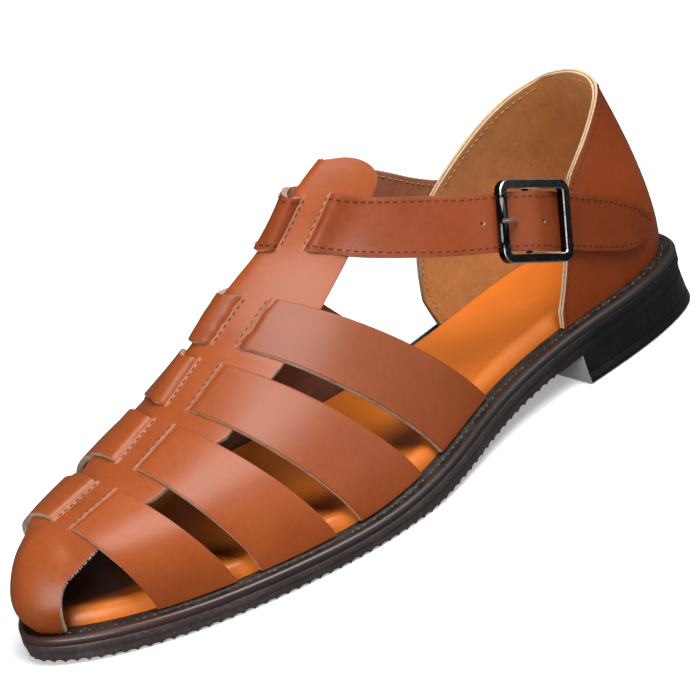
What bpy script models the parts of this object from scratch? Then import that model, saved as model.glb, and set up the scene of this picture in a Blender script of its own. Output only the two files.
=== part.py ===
"""Leather sandal for the left foot: closed toe cap, four woven cross straps and a buckled instep strap.

Sizes are in millimetres, measured from the heel's back (x towards the toe), from the sole's axis
(y towards the lateral side) and from the floor (z up). The meshes are written in metres, with the
origin under the middle of the sole's box.
"""

import math

import bmesh
import bpy
import numpy as np

MM = 0.001
GAP = 0.3  # clearance between neighbouring pieces

# Sole: outline at the welt, heights and layers
HEEL_BACK = (1.5, 0.0)
TOE_TIP = (302.5, -2.0)
SOLE_SECTIONS = (  # from_heel, lateral, medial
    (7.0, 17.0, -17.5),
    (22.0, 26.0, -27.5),
    (46.0, 31.5, -31.5),
    (80.0, 34.3, -29.0),
    (114.0, 38.6, -29.5),
    (148.0, 48.9, -37.5),
    (185.0, 54.2, -47.5),
    (210.0, 52.2, -51.0),
    (235.0, 46.8, -48.5),
    (260.0, 38.2, -41.8),
    (280.0, 26.8, -31.5),
    (294.0, 14.8, -19.0),
)
HEEL_TOP = 22.3  # welt's top edge over the heel
BALL_TOP = 8.9  # and over the ball
FALL_START, FALL_LENGTH = 195.0, 140.0  # where the top rises towards the heel
SPRING_START, SPRING_LENGTH, TOE_SPRING = 200.0, 100.0, 1.7
SOLE_EDGE = 10.5  # welt and outsole together
WELT_THICK, WELT_WIDTH = 3.0, 8.7
TOE_LIFT, LIFT_START = 1.2, 272.0
RIB_DEPTH = 1.0  # scallops along the outsole's lower edge
RIB_START, RIB_FADE = 80.0, 8.0
STEP_SHARE, STEP_DEPTH = 0.55, 0.4  # the step along the outsole's side
SOLE_STEPS, HEEL_STEPS, WELT_STEPS = 98, 18, 40  # facets along each side
BREAST_X = 72.5
HEEL_DRAW, HEEL_FLARE = 1.2, 1.1
HEEL_LEVELS = (  # inset, height; the middle rows are the groove over the top piece
    (0.4, 4.5),
    (0.9, 4.2),
    (0.3, 3.9),
    (-HEEL_FLARE, 0.7),
    (-0.4, 0.0),
)
WELT_LEVELS = (  # inset, depth
    (0.4, WELT_THICK),
    (0.0, 1.1),
    (0.5, 0.25),
    (1.4, 0.0),
    (WELT_WIDTH, 0.0),
    (WELT_WIDTH, WELT_THICK),
)
FOOTBED_INSET = 9.3
FOOTBED_RISE = 5.4
FOOTBED_LEVELS = (  # inset, depth
    (0.0, WELT_THICK),
    (0.3, -0.25 * FOOTBED_RISE),
    (1.5, -0.75 * FOOTBED_RISE),
    (3.5, -FOOTBED_RISE),
)
RUBBER = ((0.02, 0.014, 0.012), 0.45)

# Upper: one section for each strap edge, from the crest line down to the welt on both sides
FEATHER_INSET = 7.2  # middle of the wall at the welt
UPPER_SECTIONS = (  # crest_x, crest_y, crest_z, lateral_foot_x, medial_foot_x; one for each strap edge
    (134.0, -6.0, 111.0, 67.0, 72.0),
    (148.5, -8.2, 102.4, 80.2, 84.0),
    (166.0, -10.4, 89.8, 98.0, 99.0),
    (184.0, -11.9, 80.6, 117.8, 119.0),
    (200.5, -11.8, 70.5, 148.6, 148.0),
    (205.7, -11.2, 67.4, 161.4, 163.0),
    (222.7, -9.9, 58.3, 191.7, 193.0),
    (228.7, -9.1, 55.6, 202.6, 205.0),
    (247.3, -7.9, 48.8, 231.6, 234.0),
    (257.5, -6.6, 46.0, 240.6, 244.0),
    (278.0, -6.1, 41.9, 266.8, 269.5),
)
CAP_START = len(UPPER_SECTIONS) - 1.0  # section of the first strap's front edge
TOE_CREST = (285.0, -6.0, 40.2)
LATERAL_ROUND, MEDIAL_ROUND, TOE_ROUND = 1.55, 1.75, 2.1  # exponents of the sections
INSTEP_ROUND, ROUND_END = 2.3, 3.5  # the instep is rounder, back from this section
FULLNESS, FULL_ROUND = 7.0, 1.3  # the sections swell between the crest and the welt
FULL_START, FULL_LENGTH = 1.2, 1.8
FULL_DIRECTION = np.array((0.5, 0.76, 0.4))
SWEEP = 0.6  # share of a section's backward sweep that comes early, at the crest
TOE_BULGE = 7.0  # the toe box stands out over the welt
BULGE_HEIGHT, TUCK = 0.45, 0.7  # and draws in again below, by a share of it
TOE_CLEAR = 0.7  # extra height of the cap's turned-in lower edge over the welt
TOE_SLOPE = 0.27
SPINE_ROWS = (  # section, middle's offset from the crest line, half width
    (0.0, 5.3, 21.0),
    (1.0, 9.7, 18.5),
    (2.0, 11.8, 20.3),
    (3.0, 13.0, 22.2),
    (6.5, 8.8, 23.5),
    (9.0, 7.0, 17.8),
    (10.0, 6.3, 17.8),
    (10.4, 6.3, 16.8),
    (11.0, 6.3, 16.8),
)
TAB_ROUND, TAB_TIP = 0.8, 0.05  # the tab's round end, in sections from its tip
CAP_END, CAP_CURVE = 0.73, 26.0  # the cap's edge runs forward, then turns steeply down to the welt
TURN_START = 0.005  # share of its height at which the turn begins
SPINE_THICK = 1.8
STRAP_THICK = 2.2
SLOT_HALF = 5.0  # half of the strip between two slots
SLOT_RAMP = 3.0
EDGE_RAMP = 7.0
WEAVE = 1.2  # lift of a strap over the lateral margin, and its drop under the middle strip
MEDIAL_LIFT = 1.5
INSTEP_SECTIONS = (1.0, 1.5, 2.0)  # sections of the instep strap's back edge, middle and front edge
INSTEP_BOW = (3.0, 1.0, 0.0)  # its back edge, middle and front edge stand off the medial margin
INSTEP_REACH = 22.5  # it stays lifted up to this distance from the spine's middle
CROSS_STRAPS = ((3.0, 4.0), (5.0, 6.0), (7.0, 8.0), (9.0, 10.0))  # sections of each strap's edges

# Quarter: heel wall on the welt, with the height of its rim by distance from the heel
QUARTER_THICK = 2.4
QUARTER_RIM = {  # from_heel, height
    "lateral": (
        (9.0, 98.2),
        (11.7, 97.6),
        (14.4, 95.4),
        (20.0, 91.8),
        (30.0, 87.2),
        (40.0, 80.6),
        (50.0, 74.6),
        (57.0, 68.0),
        (62.0, 58.5),
        (67.5, 43.0),
        (73.5, 28.0),
    ),
    "medial": (
        (9.0, 98.2),
        (11.0, 95.2),
        (16.0, 92.6),
        (22.0, 90.9),
        (30.0, 88.8),
        (40.0, 86.5),
        (50.0, 84.0),
        (60.0, 81.6),
        (68.0, 77.8),
        (76.0, 72.2),
        (82.0, 66.0),
        (87.0, 53.0),
        (91.5, 32.0),
    ),
}
FRONT_BULGE = {"lateral": 0.0, "medial": 5.0}  # the front edge's forward curve

HEEL_LEAN = 16.3  # the heel's back leans forward up to the rim
QUARTER_BULGE, HEEL_BULGE = 4.0, 3.8
QUARTER_TAPER = 4.0  # the wall draws in towards the rim round the heel
QUARTER_TOP = 98.2

# Buckle and instep strap
BUCKLE_CENTRE = np.array((82.5, 38.6, 71.0))
BUCKLE_ALONG = np.array((-0.905, -0.05, -0.42))  # towards the strap's tip
BUCKLE_UP = np.array((-0.40, -0.25, 0.88))
FRAME_LENGTH, FRAME_HEIGHT = 34.0, 29.5
FRAME_CORNER = 4.5
FRAME_BAR = 3.4
FRONT_BAR = 2.2
ROLLER_RADIUS, ROLLER_BORE, ROLLER_LENGTH = 2.1, 1.5, 17.0
CENTRE_BAR, CENTRE_DEPTH = 2.4, 3.6
PRONG_WIRE = 1.6
HOLE_WIRE = 2.5  # the strap's hole round the prong
TAB_WIDTH, TAB_EYE, TAB_TAIL = 14.0, 5.8, 2.2
TAB_END = (13.2, -6.6)  # end of the tab's tail, along the strap and out of the buckle's plane
PRONG_NOTCH = 3.4
INSTEP_THICK = 2.2
INSTEP_WIDTH = 21.0
UNDER_BAR, OVER_BAR = -3.6, 1.0  # strap's middle, from the buckle's plane
MEDIAL_ROWS = (  # upper edge, lower edge, of the strap from the medial quarter to the spine
    ((104.0, -25.5, 91.5), (113.0, -27.5, 72.5)),
    ((117.0, -25.0, 97.0), (127.0, -26.5, 79.5)),
)
LATERAL_ROWS = (  # the same from the spine to the buckle
    ((113.5, 23.5, 92.8), (126.5, 26.0, 75.4)),
    ((105.0, 29.0, 90.0), (116.5, 32.5, 72.2)),
)
MEDIAL_WALL = (  # upper_x, upper_z, lower_x, lower_z, where the strap lies on the medial quarter
    (60.0, 66.0, 64.0, 45.5),
    (72.0, 71.5, 78.0, 51.5),
    (84.0, 78.5, 91.5, 59.0),
)
LATERAL_WALL = (
    (56.0, 68.5, 62.5, 48.8),
    (46.0, 63.2, 51.0, 43.0),
    (35.0, 56.6, 38.5, 36.8),
    (27.0, 51.0, 29.5, 34.0),
    (20.0, 44.5, 21.5, 35.5),
)
STRAP_TIP = (19.0, 39.0)
WALL_LIFT = QUARTER_THICK / 2 + 3 * GAP + INSTEP_THICK / 2


def smooth(value):
    value = np.clip(value, 0.0, 1.0)
    return value * value * (3 - 2 * value)


def spline(knots, values):
    """Natural cubic curve through the values, as a function of the knots' variable."""
    knots = np.asarray(knots, float)
    values = np.asarray(values, float).reshape(len(knots), -1)
    step = np.diff(knots)[:, None]
    matrix = np.eye(len(knots))
    right = np.zeros_like(values)
    slope = np.diff(values, axis=0) / step
    for i in range(1, len(knots) - 1):
        matrix[i, i - 1 : i + 2] = step[i - 1, 0], 2 * (step[i - 1, 0] + step[i, 0]), step[i, 0]
        right[i] = 6 * (slope[i] - slope[i - 1])
    bend = np.linalg.solve(matrix, right)

    def at(where):
        where = np.atleast_1d(np.asarray(where, float))
        i = np.clip(np.searchsorted(knots, where) - 1, 0, len(knots) - 2)
        b = (where[:, None] - knots[i][:, None]) / step[i]
        a = 1 - b
        curve = ((a**3 - a) * bend[i] + (b**3 - b) * bend[i + 1]) * step[i] ** 2 / 6
        return a * values[i] + b * values[i + 1] + curve

    return at


def lengths(points):
    return np.concatenate([[0.0], np.cumsum(np.linalg.norm(np.diff(points, axis=0), axis=1))])


def along(points, where):
    """Points at the given lengths along a polyline."""
    run = lengths(points)
    return np.stack([np.interp(where, run, points[:, axis]) for axis in range(points.shape[1])], axis=1)


def resample(points, count):
    return along(points, np.linspace(0, lengths(points)[-1], count + 1))


# Sole outline and heights

FINE = 400


def fine_outline():
    """Closed loop round the sole, FINE steps a side: heel back, lateral side, toe tip, medial side."""
    lateral = [(x, side) for x, side, _ in SOLE_SECTIONS]
    medial = [(x, side) for x, _, side in reversed(SOLE_SECTIONS)]
    ring = np.array([HEEL_BACK, *lateral, TOE_TIP, *medial])
    count = len(ring)
    turns = np.concatenate([ring, ring, ring, ring[:1]])
    curve = spline(lengths(turns), turns)
    knots = lengths(turns)
    toe = count + len(SOLE_SECTIONS) + 1
    first = resample(curve(np.linspace(knots[count], knots[toe], 8 * FINE)), FINE)
    second = resample(curve(np.linspace(knots[toe], knots[2 * count], 8 * FINE)), FINE)
    return np.concatenate([first[:-1], second[:-1]])


def inset_loop(loop, inset):
    run = np.roll(loop, -1, axis=0) - np.roll(loop, 1, axis=0)
    inward = np.stack([run[:, 1], -run[:, 0]], axis=1)
    return loop + inset * inward / np.linalg.norm(inward, axis=1, keepdims=True)


OUTLINE = fine_outline()
ORIGIN = np.array(
    (
        (inset_loop(OUTLINE, -HEEL_FLARE)[:, 0].min() + OUTLINE[:, 0].max()) / 2,
        (OUTLINE[:, 1].min() + OUTLINE[:, 1].max()) / 2,
        0.0,
    )
)


def sides(inset, last_x=None):
    """Lateral and medial half of the inset outline, both from the heel's back towards the toe."""
    loop = inset_loop(OUTLINE, inset)
    lateral = loop[: FINE + 1]
    medial = np.concatenate([loop[FINE:], loop[:1]])[::-1]
    if last_x is None:
        return lateral, medial
    cut = []
    for half in (lateral, medial):
        end = int(np.argmax(half[:, 0] > last_x))
        share = (last_x - half[end - 1, 0]) / (half[end, 0] - half[end - 1, 0])
        stop = half[end - 1] + share * (half[end] - half[end - 1])
        cut.append(np.concatenate([half[:end], [stop]]))
    return cut


def top_height(x):
    rise = (HEEL_TOP - BALL_TOP) * smooth((FALL_START - x) / FALL_LENGTH)
    return BALL_TOP + rise + TOE_SPRING * np.clip((x - SPRING_START) / SPRING_LENGTH, 0, None) ** 2


def bottom_height(x):
    lift = TOE_LIFT * np.clip((x - LIFT_START) / (TOE_TIP[0] - LIFT_START), 0, None) ** 2
    return np.maximum(top_height(x) - SOLE_EDGE, 0.0) * (x < FALL_START) + lift


def loop_at(inset, height, count, last_x=None):
    """Ring of points on the inset outline: lateral side to the front, then the medial side back."""
    lateral, medial = (resample(half, count) for half in sides(inset, last_x))
    back = medial[:0:-1] if last_x is not None else medial[-2:0:-1]
    ring = np.concatenate([lateral, back])
    return np.column_stack([ring, height(ring[:, 0])])


# Meshes

def make_object(name, points, faces, colour, roughness, metallic=0.0):
    mesh = bpy.data.meshes.new(name)
    mesh.from_pydata(((np.asarray(points) - ORIGIN) * MM).tolist(), [], faces)
    shape = bmesh.new()
    shape.from_mesh(mesh)
    bmesh.ops.remove_doubles(shape, verts=shape.verts, dist=0.01 * MM)
    bmesh.ops.dissolve_degenerate(shape, edges=shape.edges, dist=0.005 * MM)
    bmesh.ops.recalc_face_normals(shape, faces=shape.faces)
    shape.to_mesh(mesh)
    shape.free()
    mesh.shade_smooth()
    mesh.set_sharp_from_angle(angle=math.radians(40))
    material = bpy.data.materials.new(name)
    material.use_nodes = True
    shader = material.node_tree.nodes["Principled BSDF"]
    shader.inputs["Base Color"].default_value = (*colour, 1.0)
    shader.inputs["Roughness"].default_value = roughness
    shader.inputs["Metallic"].default_value = metallic
    mesh.materials.append(material)
    piece = bpy.data.objects.new(name, mesh)
    bpy.context.scene.collection.objects.link(piece)
    return piece


def ladder(start, ring, count):
    """Faces across a ring, from its lateral to its medial side."""
    faces = []
    for k in range(count):
        corners = (k, k + 1, (ring - k - 1) % ring, (ring - k) % ring)
        kept = list(dict.fromkeys(start + c for c in corners))
        if len(kept) > 2:
            faces.append(kept)
    return faces


def stacked(name, loops, count, *finish):
    """Closed solid through a stack of rings, with ladders over the first and the last."""
    ring = len(loops[0])
    faces = ladder(0, ring, count) + ladder(ring * (len(loops) - 1), ring, count)
    for level in range(len(loops) - 1):
        for k in range(ring):
            after = (k + 1) % ring
            low, high = level * ring, (level + 1) * ring
            faces.append([low + k, low + after, high + after, high + k])
    return make_object(name, np.concatenate(loops), faces, *finish)


def ring_solid(name, loops, *finish):
    """Closed band whose section runs round through the loops and back to the first."""
    ring = len(loops[0])
    faces = []
    for level in range(len(loops)):
        low, high = level * ring, (level + 1) % len(loops) * ring
        for k in range(ring):
            after = (k + 1) % ring
            faces.append([low + k, low + after, high + after, high + k])
    return make_object(name, np.concatenate(loops), faces, *finish)


def sheet(name, grid, thickness, colour, roughness):
    """Leather of one thickness on a grid of points, half of it on each side."""
    rows, columns = grid.shape[:2]
    faces = []
    for i in range(rows - 1):
        for j in range(columns - 1):
            corner = i * columns + j
            faces.append([corner, corner + 1, corner + columns + 1, corner + columns])
    piece = make_object(name, grid.reshape(-1, 3), faces, colour, roughness)
    solid = piece.modifiers.new("thickness", "SOLIDIFY")
    solid.thickness = thickness * MM
    solid.offset = 0.0
    piece.modifiers.new("triangles", "TRIANGULATE")
    return piece


def grid_normals(grid):
    across = np.gradient(grid, axis=1)
    run = np.gradient(grid, axis=0)
    normal = np.cross(across, run)
    return normal / np.maximum(np.linalg.norm(normal, axis=2, keepdims=True), 1e-9)


def combine(piece, other, operation):
    """Joins another mesh to the piece, or cuts it out, and keeps the other as a hidden helper."""
    boolean = piece.modifiers.new(other.name, "BOOLEAN")
    boolean.operation = operation
    boolean.object = other
    other.hide_render = True
    other.display_type = "WIRE"


# Upper surface

FEATHER = dict(zip(("lateral", "medial"), sides(FEATHER_INSET)))
ROWS = np.arange(len(UPPER_SECTIONS))
CREST = spline(ROWS, [row[:3] for row in UPPER_SECTIONS])
FEET = {
    "lateral": spline(ROWS, [row[3] for row in UPPER_SECTIONS]),
    "medial": spline(ROWS, [row[4] for row in UPPER_SECTIONS]),
}
ROUND = {"lateral": LATERAL_ROUND, "medial": MEDIAL_ROUND}
TURN = np.linspace(0, math.pi / 2, 41)


def feather_run(side, x):
    """Length along the feather line at which it reaches x."""
    line = FEATHER[side]
    return float(np.interp(x, line[:, 0], lengths(line)))


def half_section(t, side):
    """Points from the crest down to the welt on one side, in section t of the upper."""
    line = FEATHER[side]
    cap = float(np.clip(t - CAP_START, 0.0, 1.0))
    crest = CREST(min(t, CAP_START))[0]
    crest = crest + (np.array(TOE_CREST) - crest) * smooth(cap)
    last_foot = UPPER_SECTIONS[-1][3 if side == "lateral" else 4]
    if cap > 0:
        start = feather_run(side, last_foot)
        run = start + cap * (lengths(line)[-1] - start)
    else:
        run = feather_run(side, FEET[side](t)[0, 0])
    foot, ahead, behind = along(line, [run, run + 1, run - 1])
    if cap == 1:
        outward = np.array((1.0, 0.0))
    else:
        tangent = ahead - behind
        outward = np.array((-tangent[1], tangent[0])) * (1 if side == "lateral" else -1)
        outward = outward / np.linalg.norm(outward)
    bulge = TOE_BULGE * smooth(cap * 2)
    wide = foot + outward * bulge
    floor = top_height(foot[0]) + GAP + TOE_CLEAR * smooth(cap * 2)
    roundness = ROUND[side] + (TOE_ROUND - ROUND[side]) * smooth(cap * 1.5)
    roundness += (INSTEP_ROUND - ROUND[side]) * smooth((ROUND_END - t) / ROUND_END)
    power = 2 / roundness
    out, high = np.sin(TURN) ** power, np.cos(TURN) ** power
    out[-1], high[-1] = 1.0, 0.0
    early = SWEEP + (1 - SWEEP) * smooth(cap)
    sweep = (1 - high) * (1 - early) + out * early
    corner = floor + TOE_SLOPE * max(0.0, wide[0] - crest[0])
    tuck = TUCK * bulge * np.clip(1 - high / BULGE_HEIGHT, 0, None) ** 2
    x = crest[0] + (wide[0] - crest[0]) * sweep - outward[0] * tuck
    y = crest[1] + (wide[1] - crest[1]) * out - outward[1] * tuck
    z = corner + (crest[2] - corner) * high + (floor - corner) * out
    points = np.column_stack([x, y, z])
    share = lengths(points) / lengths(points)[-1]
    amount = FULLNESS * smooth((t - FULL_START) / FULL_LENGTH) * (1 - smooth(2 * cap))
    swell = amount * np.clip(np.sin(math.pi * share), 0, None) ** FULL_ROUND
    return points + swell[:, None] * FULL_DIRECTION * (1, 1 if side == "lateral" else -1, 1)


def section_points(t, where):
    """Points of section t at lengths from the crest, positive on the lateral side."""
    where = np.asarray(where, float)
    lateral = along(half_section(t, "lateral"), np.maximum(where, 0))
    medial = along(half_section(t, "medial"), np.maximum(-where, 0))
    return np.where((where >= 0)[:, None], lateral, medial)


def side_length(t, side):
    return lengths(half_section(t, side))[-1]


def spine_row(t, column):
    rows = np.array(SPINE_ROWS)
    return float(np.interp(t, rows[:, 0], rows[:, column]))


def spine_middle(t):
    return spine_row(t, 1) * (1 - float(smooth(t - CAP_START)))


def spine_half(t):
    half = spine_row(t, 2)
    if t < TAB_ROUND:
        half *= math.sqrt(max(0.0, 1 - (1 - t / TAB_ROUND) ** 2))
    return half


def cap_edge(t, side):
    """Length from the crest to the edge of the spine, or of the toe cap in front of it."""
    direction = 1 if side == "lateral" else -1
    edge = direction * spine_middle(min(t, CAP_START)) + spine_half(t)
    full = side_length(t, side)
    if t <= CAP_START:
        return edge
    share = min((t - CAP_START) / CAP_END, 1.0)
    return edge + (full - edge) * share**CAP_CURVE


def cap_rows(along_spine, in_turn, in_front):
    """Sections of the cap, closer together where its edge turns down."""
    turn = CAP_END * np.linspace(TURN_START, 1, in_turn) ** (1 / CAP_CURVE)
    before = np.linspace(0, turn[0], along_spine, endpoint=False)[1:]
    return CAP_START + np.concatenate([before, turn, np.linspace(CAP_END, 1, in_front)[1:]])


def spine_and_cap():
    """Toe cap, spine and tab in one piece of leather."""
    tab = TAB_TIP + (TAB_ROUND - TAB_TIP) * (1 - np.cos(np.linspace(0, math.pi / 2, 5)))
    body = np.linspace(TAB_ROUND, CAP_START, 20)[1:]
    cap = cap_rows(6, 7, 5)
    columns = np.linspace(-1, 1, 13)
    grid = []
    for t in np.concatenate([tab, body, cap]):
        middle = spine_middle(t)
        lateral = cap_edge(t, "lateral") - middle
        medial = cap_edge(t, "medial") + middle
        where = middle + np.where(columns > 0, columns * lateral, columns * medial)
        grid.append(section_points(t, where))
    return sheet("upper", np.array(grid), SPINE_THICK, (0.42, 0.15, 0.05), 0.4)


def weave_lift(beside, half):
    """Height of a woven strap over the wall: under the strip between the slots, then over the margin."""
    over = smooth((np.abs(beside) - SLOT_HALF) / SLOT_RAMP)
    down = smooth((np.abs(beside) - half) / EDGE_RAMP)
    top = np.where(np.asarray(beside) < 0, MEDIAL_LIFT, WEAVE)
    return ((top + WEAVE) * over - WEAVE) * (1 - down)


def cross_strap(number, first, last):
    """Strap from the medial to the lateral welt, woven through the spine."""
    grid, lift = [], []
    for t in np.linspace(first, last, 4):
        middle, half = spine_middle(t), spine_half(t)
        bends = [-half - EDGE_RAMP, -half, -SLOT_HALF - SLOT_RAMP, -SLOT_HALF]
        bends = bends + [-bend for bend in reversed(bends)]
        ends = [-side_length(t, "medial") - middle, side_length(t, "lateral") - middle]
        medial = np.linspace(ends[0], bends[0], 6)[:-1]
        lateral = np.linspace(bends[-1], ends[1], 8)[1:]
        fine = np.unique(np.concatenate([np.linspace(a, b, 3) for a, b in zip(bends, bends[1:])]))
        beside = np.concatenate([medial, fine, lateral])
        grid.append(section_points(t, middle + beside))
        lift.append(weave_lift(beside, half))
    grid = np.array(grid)
    grid = grid - grid_normals(grid) * np.array(lift)[:, :, None]
    return sheet(f"strap_{number}", grid, STRAP_THICK, (0.42, 0.15, 0.05), 0.4)


# Quarter

def quarter_rim(side):
    rows = np.array(QUARTER_RIM[side])
    return spline(rows[:, 0], rows[:, 1])


def wall_points(side, count):
    """Base points of the quarter's wall on one side, from the heel's back, with outward directions."""
    last_x = QUARTER_RIM[side][-1][0]
    half = sides(FEATHER_INSET, last_x)[0 if side == "lateral" else 1]
    base = resample(half, count)
    run = np.gradient(base, axis=0)
    outward = np.stack([-run[:, 1], run[:, 0]], axis=1)
    if side == "medial":
        outward = -outward
    outward /= np.linalg.norm(outward, axis=1, keepdims=True)
    outward[0] = (-1.0, 0.0)
    return base, outward


def wall_at(side, base, outward, height):
    """The wall leans forward at the heel's back and swells a little over the welt."""
    share = np.clip((height - HEEL_TOP) / (QUARTER_TOP - HEEL_TOP), 0, 1)
    back = np.clip(-outward[..., 0], 0, 1) ** 1.5
    swell = QUARTER_BULGE * np.sin(math.pi * share**0.9) * (1 - back)
    swell = swell + HEEL_BULGE * np.sin(math.pi * share**0.6) * back
    swell = swell - QUARTER_TAPER * share**2 * (1 - back)
    lean = HEEL_LEAN * share**1.2 * back
    front = (base[..., 0] / QUARTER_RIM[side][-1][0]) ** 4
    lean = lean + FRONT_BULGE[side] * front * np.sin(math.pi * np.clip(1.3 * share, 0, 1))
    x = base[..., 0] + outward[..., 0] * swell + lean
    y = base[..., 1] + outward[..., 1] * swell
    return np.stack([x, y, height], axis=-1)


def quarter_wall():
    columns = []
    rows = np.linspace(0, 1, 8)
    for side in ("medial", "lateral"):
        base, outward = wall_points(side, 18)
        rim = quarter_rim(side)
        half = []
        for point, direction in zip(base, outward):
            floor = top_height(point[0]) + GAP
            top = float(rim(max(point[0], QUARTER_RIM[side][0][0]))[0, 0])
            height = floor + (top - floor) * rows
            half.append(wall_at(side, np.tile(point, (len(rows), 1)), direction[None, :], height))
        columns.append(half[::-1] if side == "medial" else half[1:])
    grid = np.array(columns[0] + columns[1])
    return sheet("quarter", grid, QUARTER_THICK, (0.36, 0.11, 0.04), 0.4)


def beside_wall(side, x, height):
    """Point of the instep strap on the quarter, at a distance from the heel and a height."""
    base, outward = wall_points(side, 120)
    wall = wall_at(side, base, outward, np.full(len(base), float(height)))[:, :2] + outward * WALL_LIFT
    return (x, float(np.interp(x, wall[:, 0], wall[:, 1])), height)


# Instep strap

def wall_row(side, row):
    """Edges of the strap where it lies on the quarter."""
    return [beside_wall(side, *row[:2]), beside_wall(side, *row[2:])]


def buckle_row(forward, depth):
    """Edges of the strap in the buckle, at a distance along it and a depth from its plane."""
    normal = np.cross(BUCKLE_ALONG, BUCKLE_UP)
    middle = BUCKLE_CENTRE + forward * BUCKLE_ALONG + depth * normal
    return [middle + BUCKLE_UP * INSTEP_WIDTH / 2, middle - BUCKLE_UP * INSTEP_WIDTH / 2]


def spine_rows():
    """Edges and middle of the strap over the medial margin, under the middle strip and over the margin."""
    rows = []
    ramp_end = SLOT_HALF + SLOT_RAMP
    lateral = (0.0, SLOT_HALF, ramp_end, 1.5 * ramp_end)
    for beside in (-INSTEP_REACH, -2 * ramp_end, *(-place for place in lateral[:0:-1]), *lateral):
        line = np.array([section_points(t, [spine_middle(t) + beside])[0] for t in INSTEP_SECTIONS])
        nearby = np.array([section_points(t, [spine_middle(t) + beside + 0.5])[0] for t in INSTEP_SECTIONS])
        normal = np.cross(nearby - line, line[2] - line[0])
        normal /= np.linalg.norm(normal, axis=1, keepdims=True)
        bow = INSTEP_BOW if beside < 0 else (0.0, 0.0, 0.0)
        lift = min(float(weave_lift(beside, INSTEP_REACH)), WEAVE)
        lift = lift + np.array(bow) * smooth(-beside / ramp_end - 1)
        edges = line - normal * lift[:, None]
        rows.append(list(edges))
    return rows


def instep_strap():
    """Strap from the medial quarter through the spine's top slots and the buckle to its round tip."""
    half = FRAME_LENGTH / 2 - FRAME_BAR / 2
    rows = [wall_row("medial", row) for row in MEDIAL_WALL]
    rows += list(MEDIAL_ROWS) + spine_rows() + list(LATERAL_ROWS)
    rows += [buckle_row(-half, UNDER_BAR), buckle_row(0, OVER_BAR), buckle_row(half, UNDER_BAR)]
    rows += [wall_row("lateral", row) for row in LATERAL_WALL]
    tip = beside_wall("lateral", *STRAP_TIP)
    rows.append([tip, tip])
    rows = np.array([(row[0], np.mean(row, axis=0), row[1]) if len(row) == 2 else row for row in rows])
    knots = lengths(rows[:, 1])
    where = np.linspace(0, knots[-1], 84)
    upper, middle, lower = (spline(knots, rows[:, line])(where) for line in range(3))
    grid = []
    for share in np.linspace(0, 1, 4):
        ends = upper * (1 - share) * (1 - 2 * share) + lower * share * (2 * share - 1)
        grid.append(ends + middle * 4 * share * (1 - share))
    grid = np.array(grid)
    return sheet("instep_strap", grid, INSTEP_THICK, (0.42, 0.15, 0.05), 0.4)


# Buckle

def buckle_points(local):
    """Places points given along the strap, up the buckle and out of its plane."""
    normal = np.cross(BUCKLE_ALONG, BUCKLE_UP)
    axes = np.stack([BUCKLE_ALONG, BUCKLE_UP, normal])
    return BUCKLE_CENTRE + np.asarray(local) @ axes


def swept(name, path, radii, closed, *finish):
    """Round bar along a flat path given in the buckle's own axes, with a radius at each point."""
    path = np.asarray(path, float)
    tangent = np.gradient(path, axis=0)
    if closed:
        tangent = np.roll(path, -1, axis=0) - np.roll(path, 1, axis=0)
    tangent /= np.linalg.norm(tangent, axis=1, keepdims=True)
    across = np.eye(3)[np.ptp(path, axis=0).argmin()]
    beside = np.cross(tangent, across)
    turns = np.linspace(0, 2 * math.pi, BAR_SIDES, endpoint=False)
    points, faces = [], []
    for centre, side, radius in zip(path, beside, radii):
        points += [centre + radius * (math.cos(turn) * side + math.sin(turn) * across) for turn in turns]
    count = len(path)
    for i in range(count if closed else count - 1):
        here, there = i * BAR_SIDES, (i + 1) % count * BAR_SIDES
        for j in range(BAR_SIDES):
            after = (j + 1) % BAR_SIDES
            faces.append([here + j, here + after, there + after, there + j])
    if not closed:
        faces.append(list(range(BAR_SIDES)))
        faces.append(list(range((count - 1) * BAR_SIDES, count * BAR_SIDES)))
    return make_object(name, buckle_points(points), faces, *finish)


BAR_SIDES = 8
METAL = ((0.03, 0.03, 0.035), 0.2, 1.0)
HALF_LENGTH = (FRAME_LENGTH - FRAME_BAR) / 2
HALF_HEIGHT = (FRAME_HEIGHT - FRAME_BAR) / 2


def buckle_frame():
    """Rounded frame, thinner at the front under its roller, with the dropped centre bar across it."""
    path, radii = [], []
    inner = FRAME_CORNER - FRAME_BAR / 2
    seat = ROLLER_LENGTH / 2 + GAP
    for x_sign, y_sign, start in ((1, 1, 0), (-1, 1, 90), (-1, -1, 180), (1, -1, 270)):
        for turn in np.radians(start + np.linspace(0, 90, 6)):
            x = x_sign * (HALF_LENGTH - inner) + inner * math.cos(turn)
            y = y_sign * (HALF_HEIGHT - inner) + inner * math.sin(turn)
            path.append((x, y, 0.0))
            radii.append(FRAME_BAR / 2)
        if (x_sign, y_sign) == (-1, 1):
            path += [(-HALF_LENGTH, place, 0.0) for place in (seat + 0.4, seat, -seat, -seat - 0.4)]
            radii += [FRAME_BAR / 2, FRONT_BAR / 2, FRONT_BAR / 2, FRAME_BAR / 2]
    frame = swept("buckle_frame", path, radii, True, *METAL)
    drop = ((0.0, 0.1), (0.6, 0.7), (1.8, 1.0))  # inset from the frame's side, share of the depth
    half_bar = [(0, HALF_HEIGHT - inset, -share * CENTRE_DEPTH) for inset, share in drop]
    bar = half_bar + [(x, -y, z) for x, y, z in reversed(half_bar)]
    combine(frame, swept("centre_bar", bar, [CENTRE_BAR / 2] * len(bar), False, *METAL), "UNION")


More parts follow.
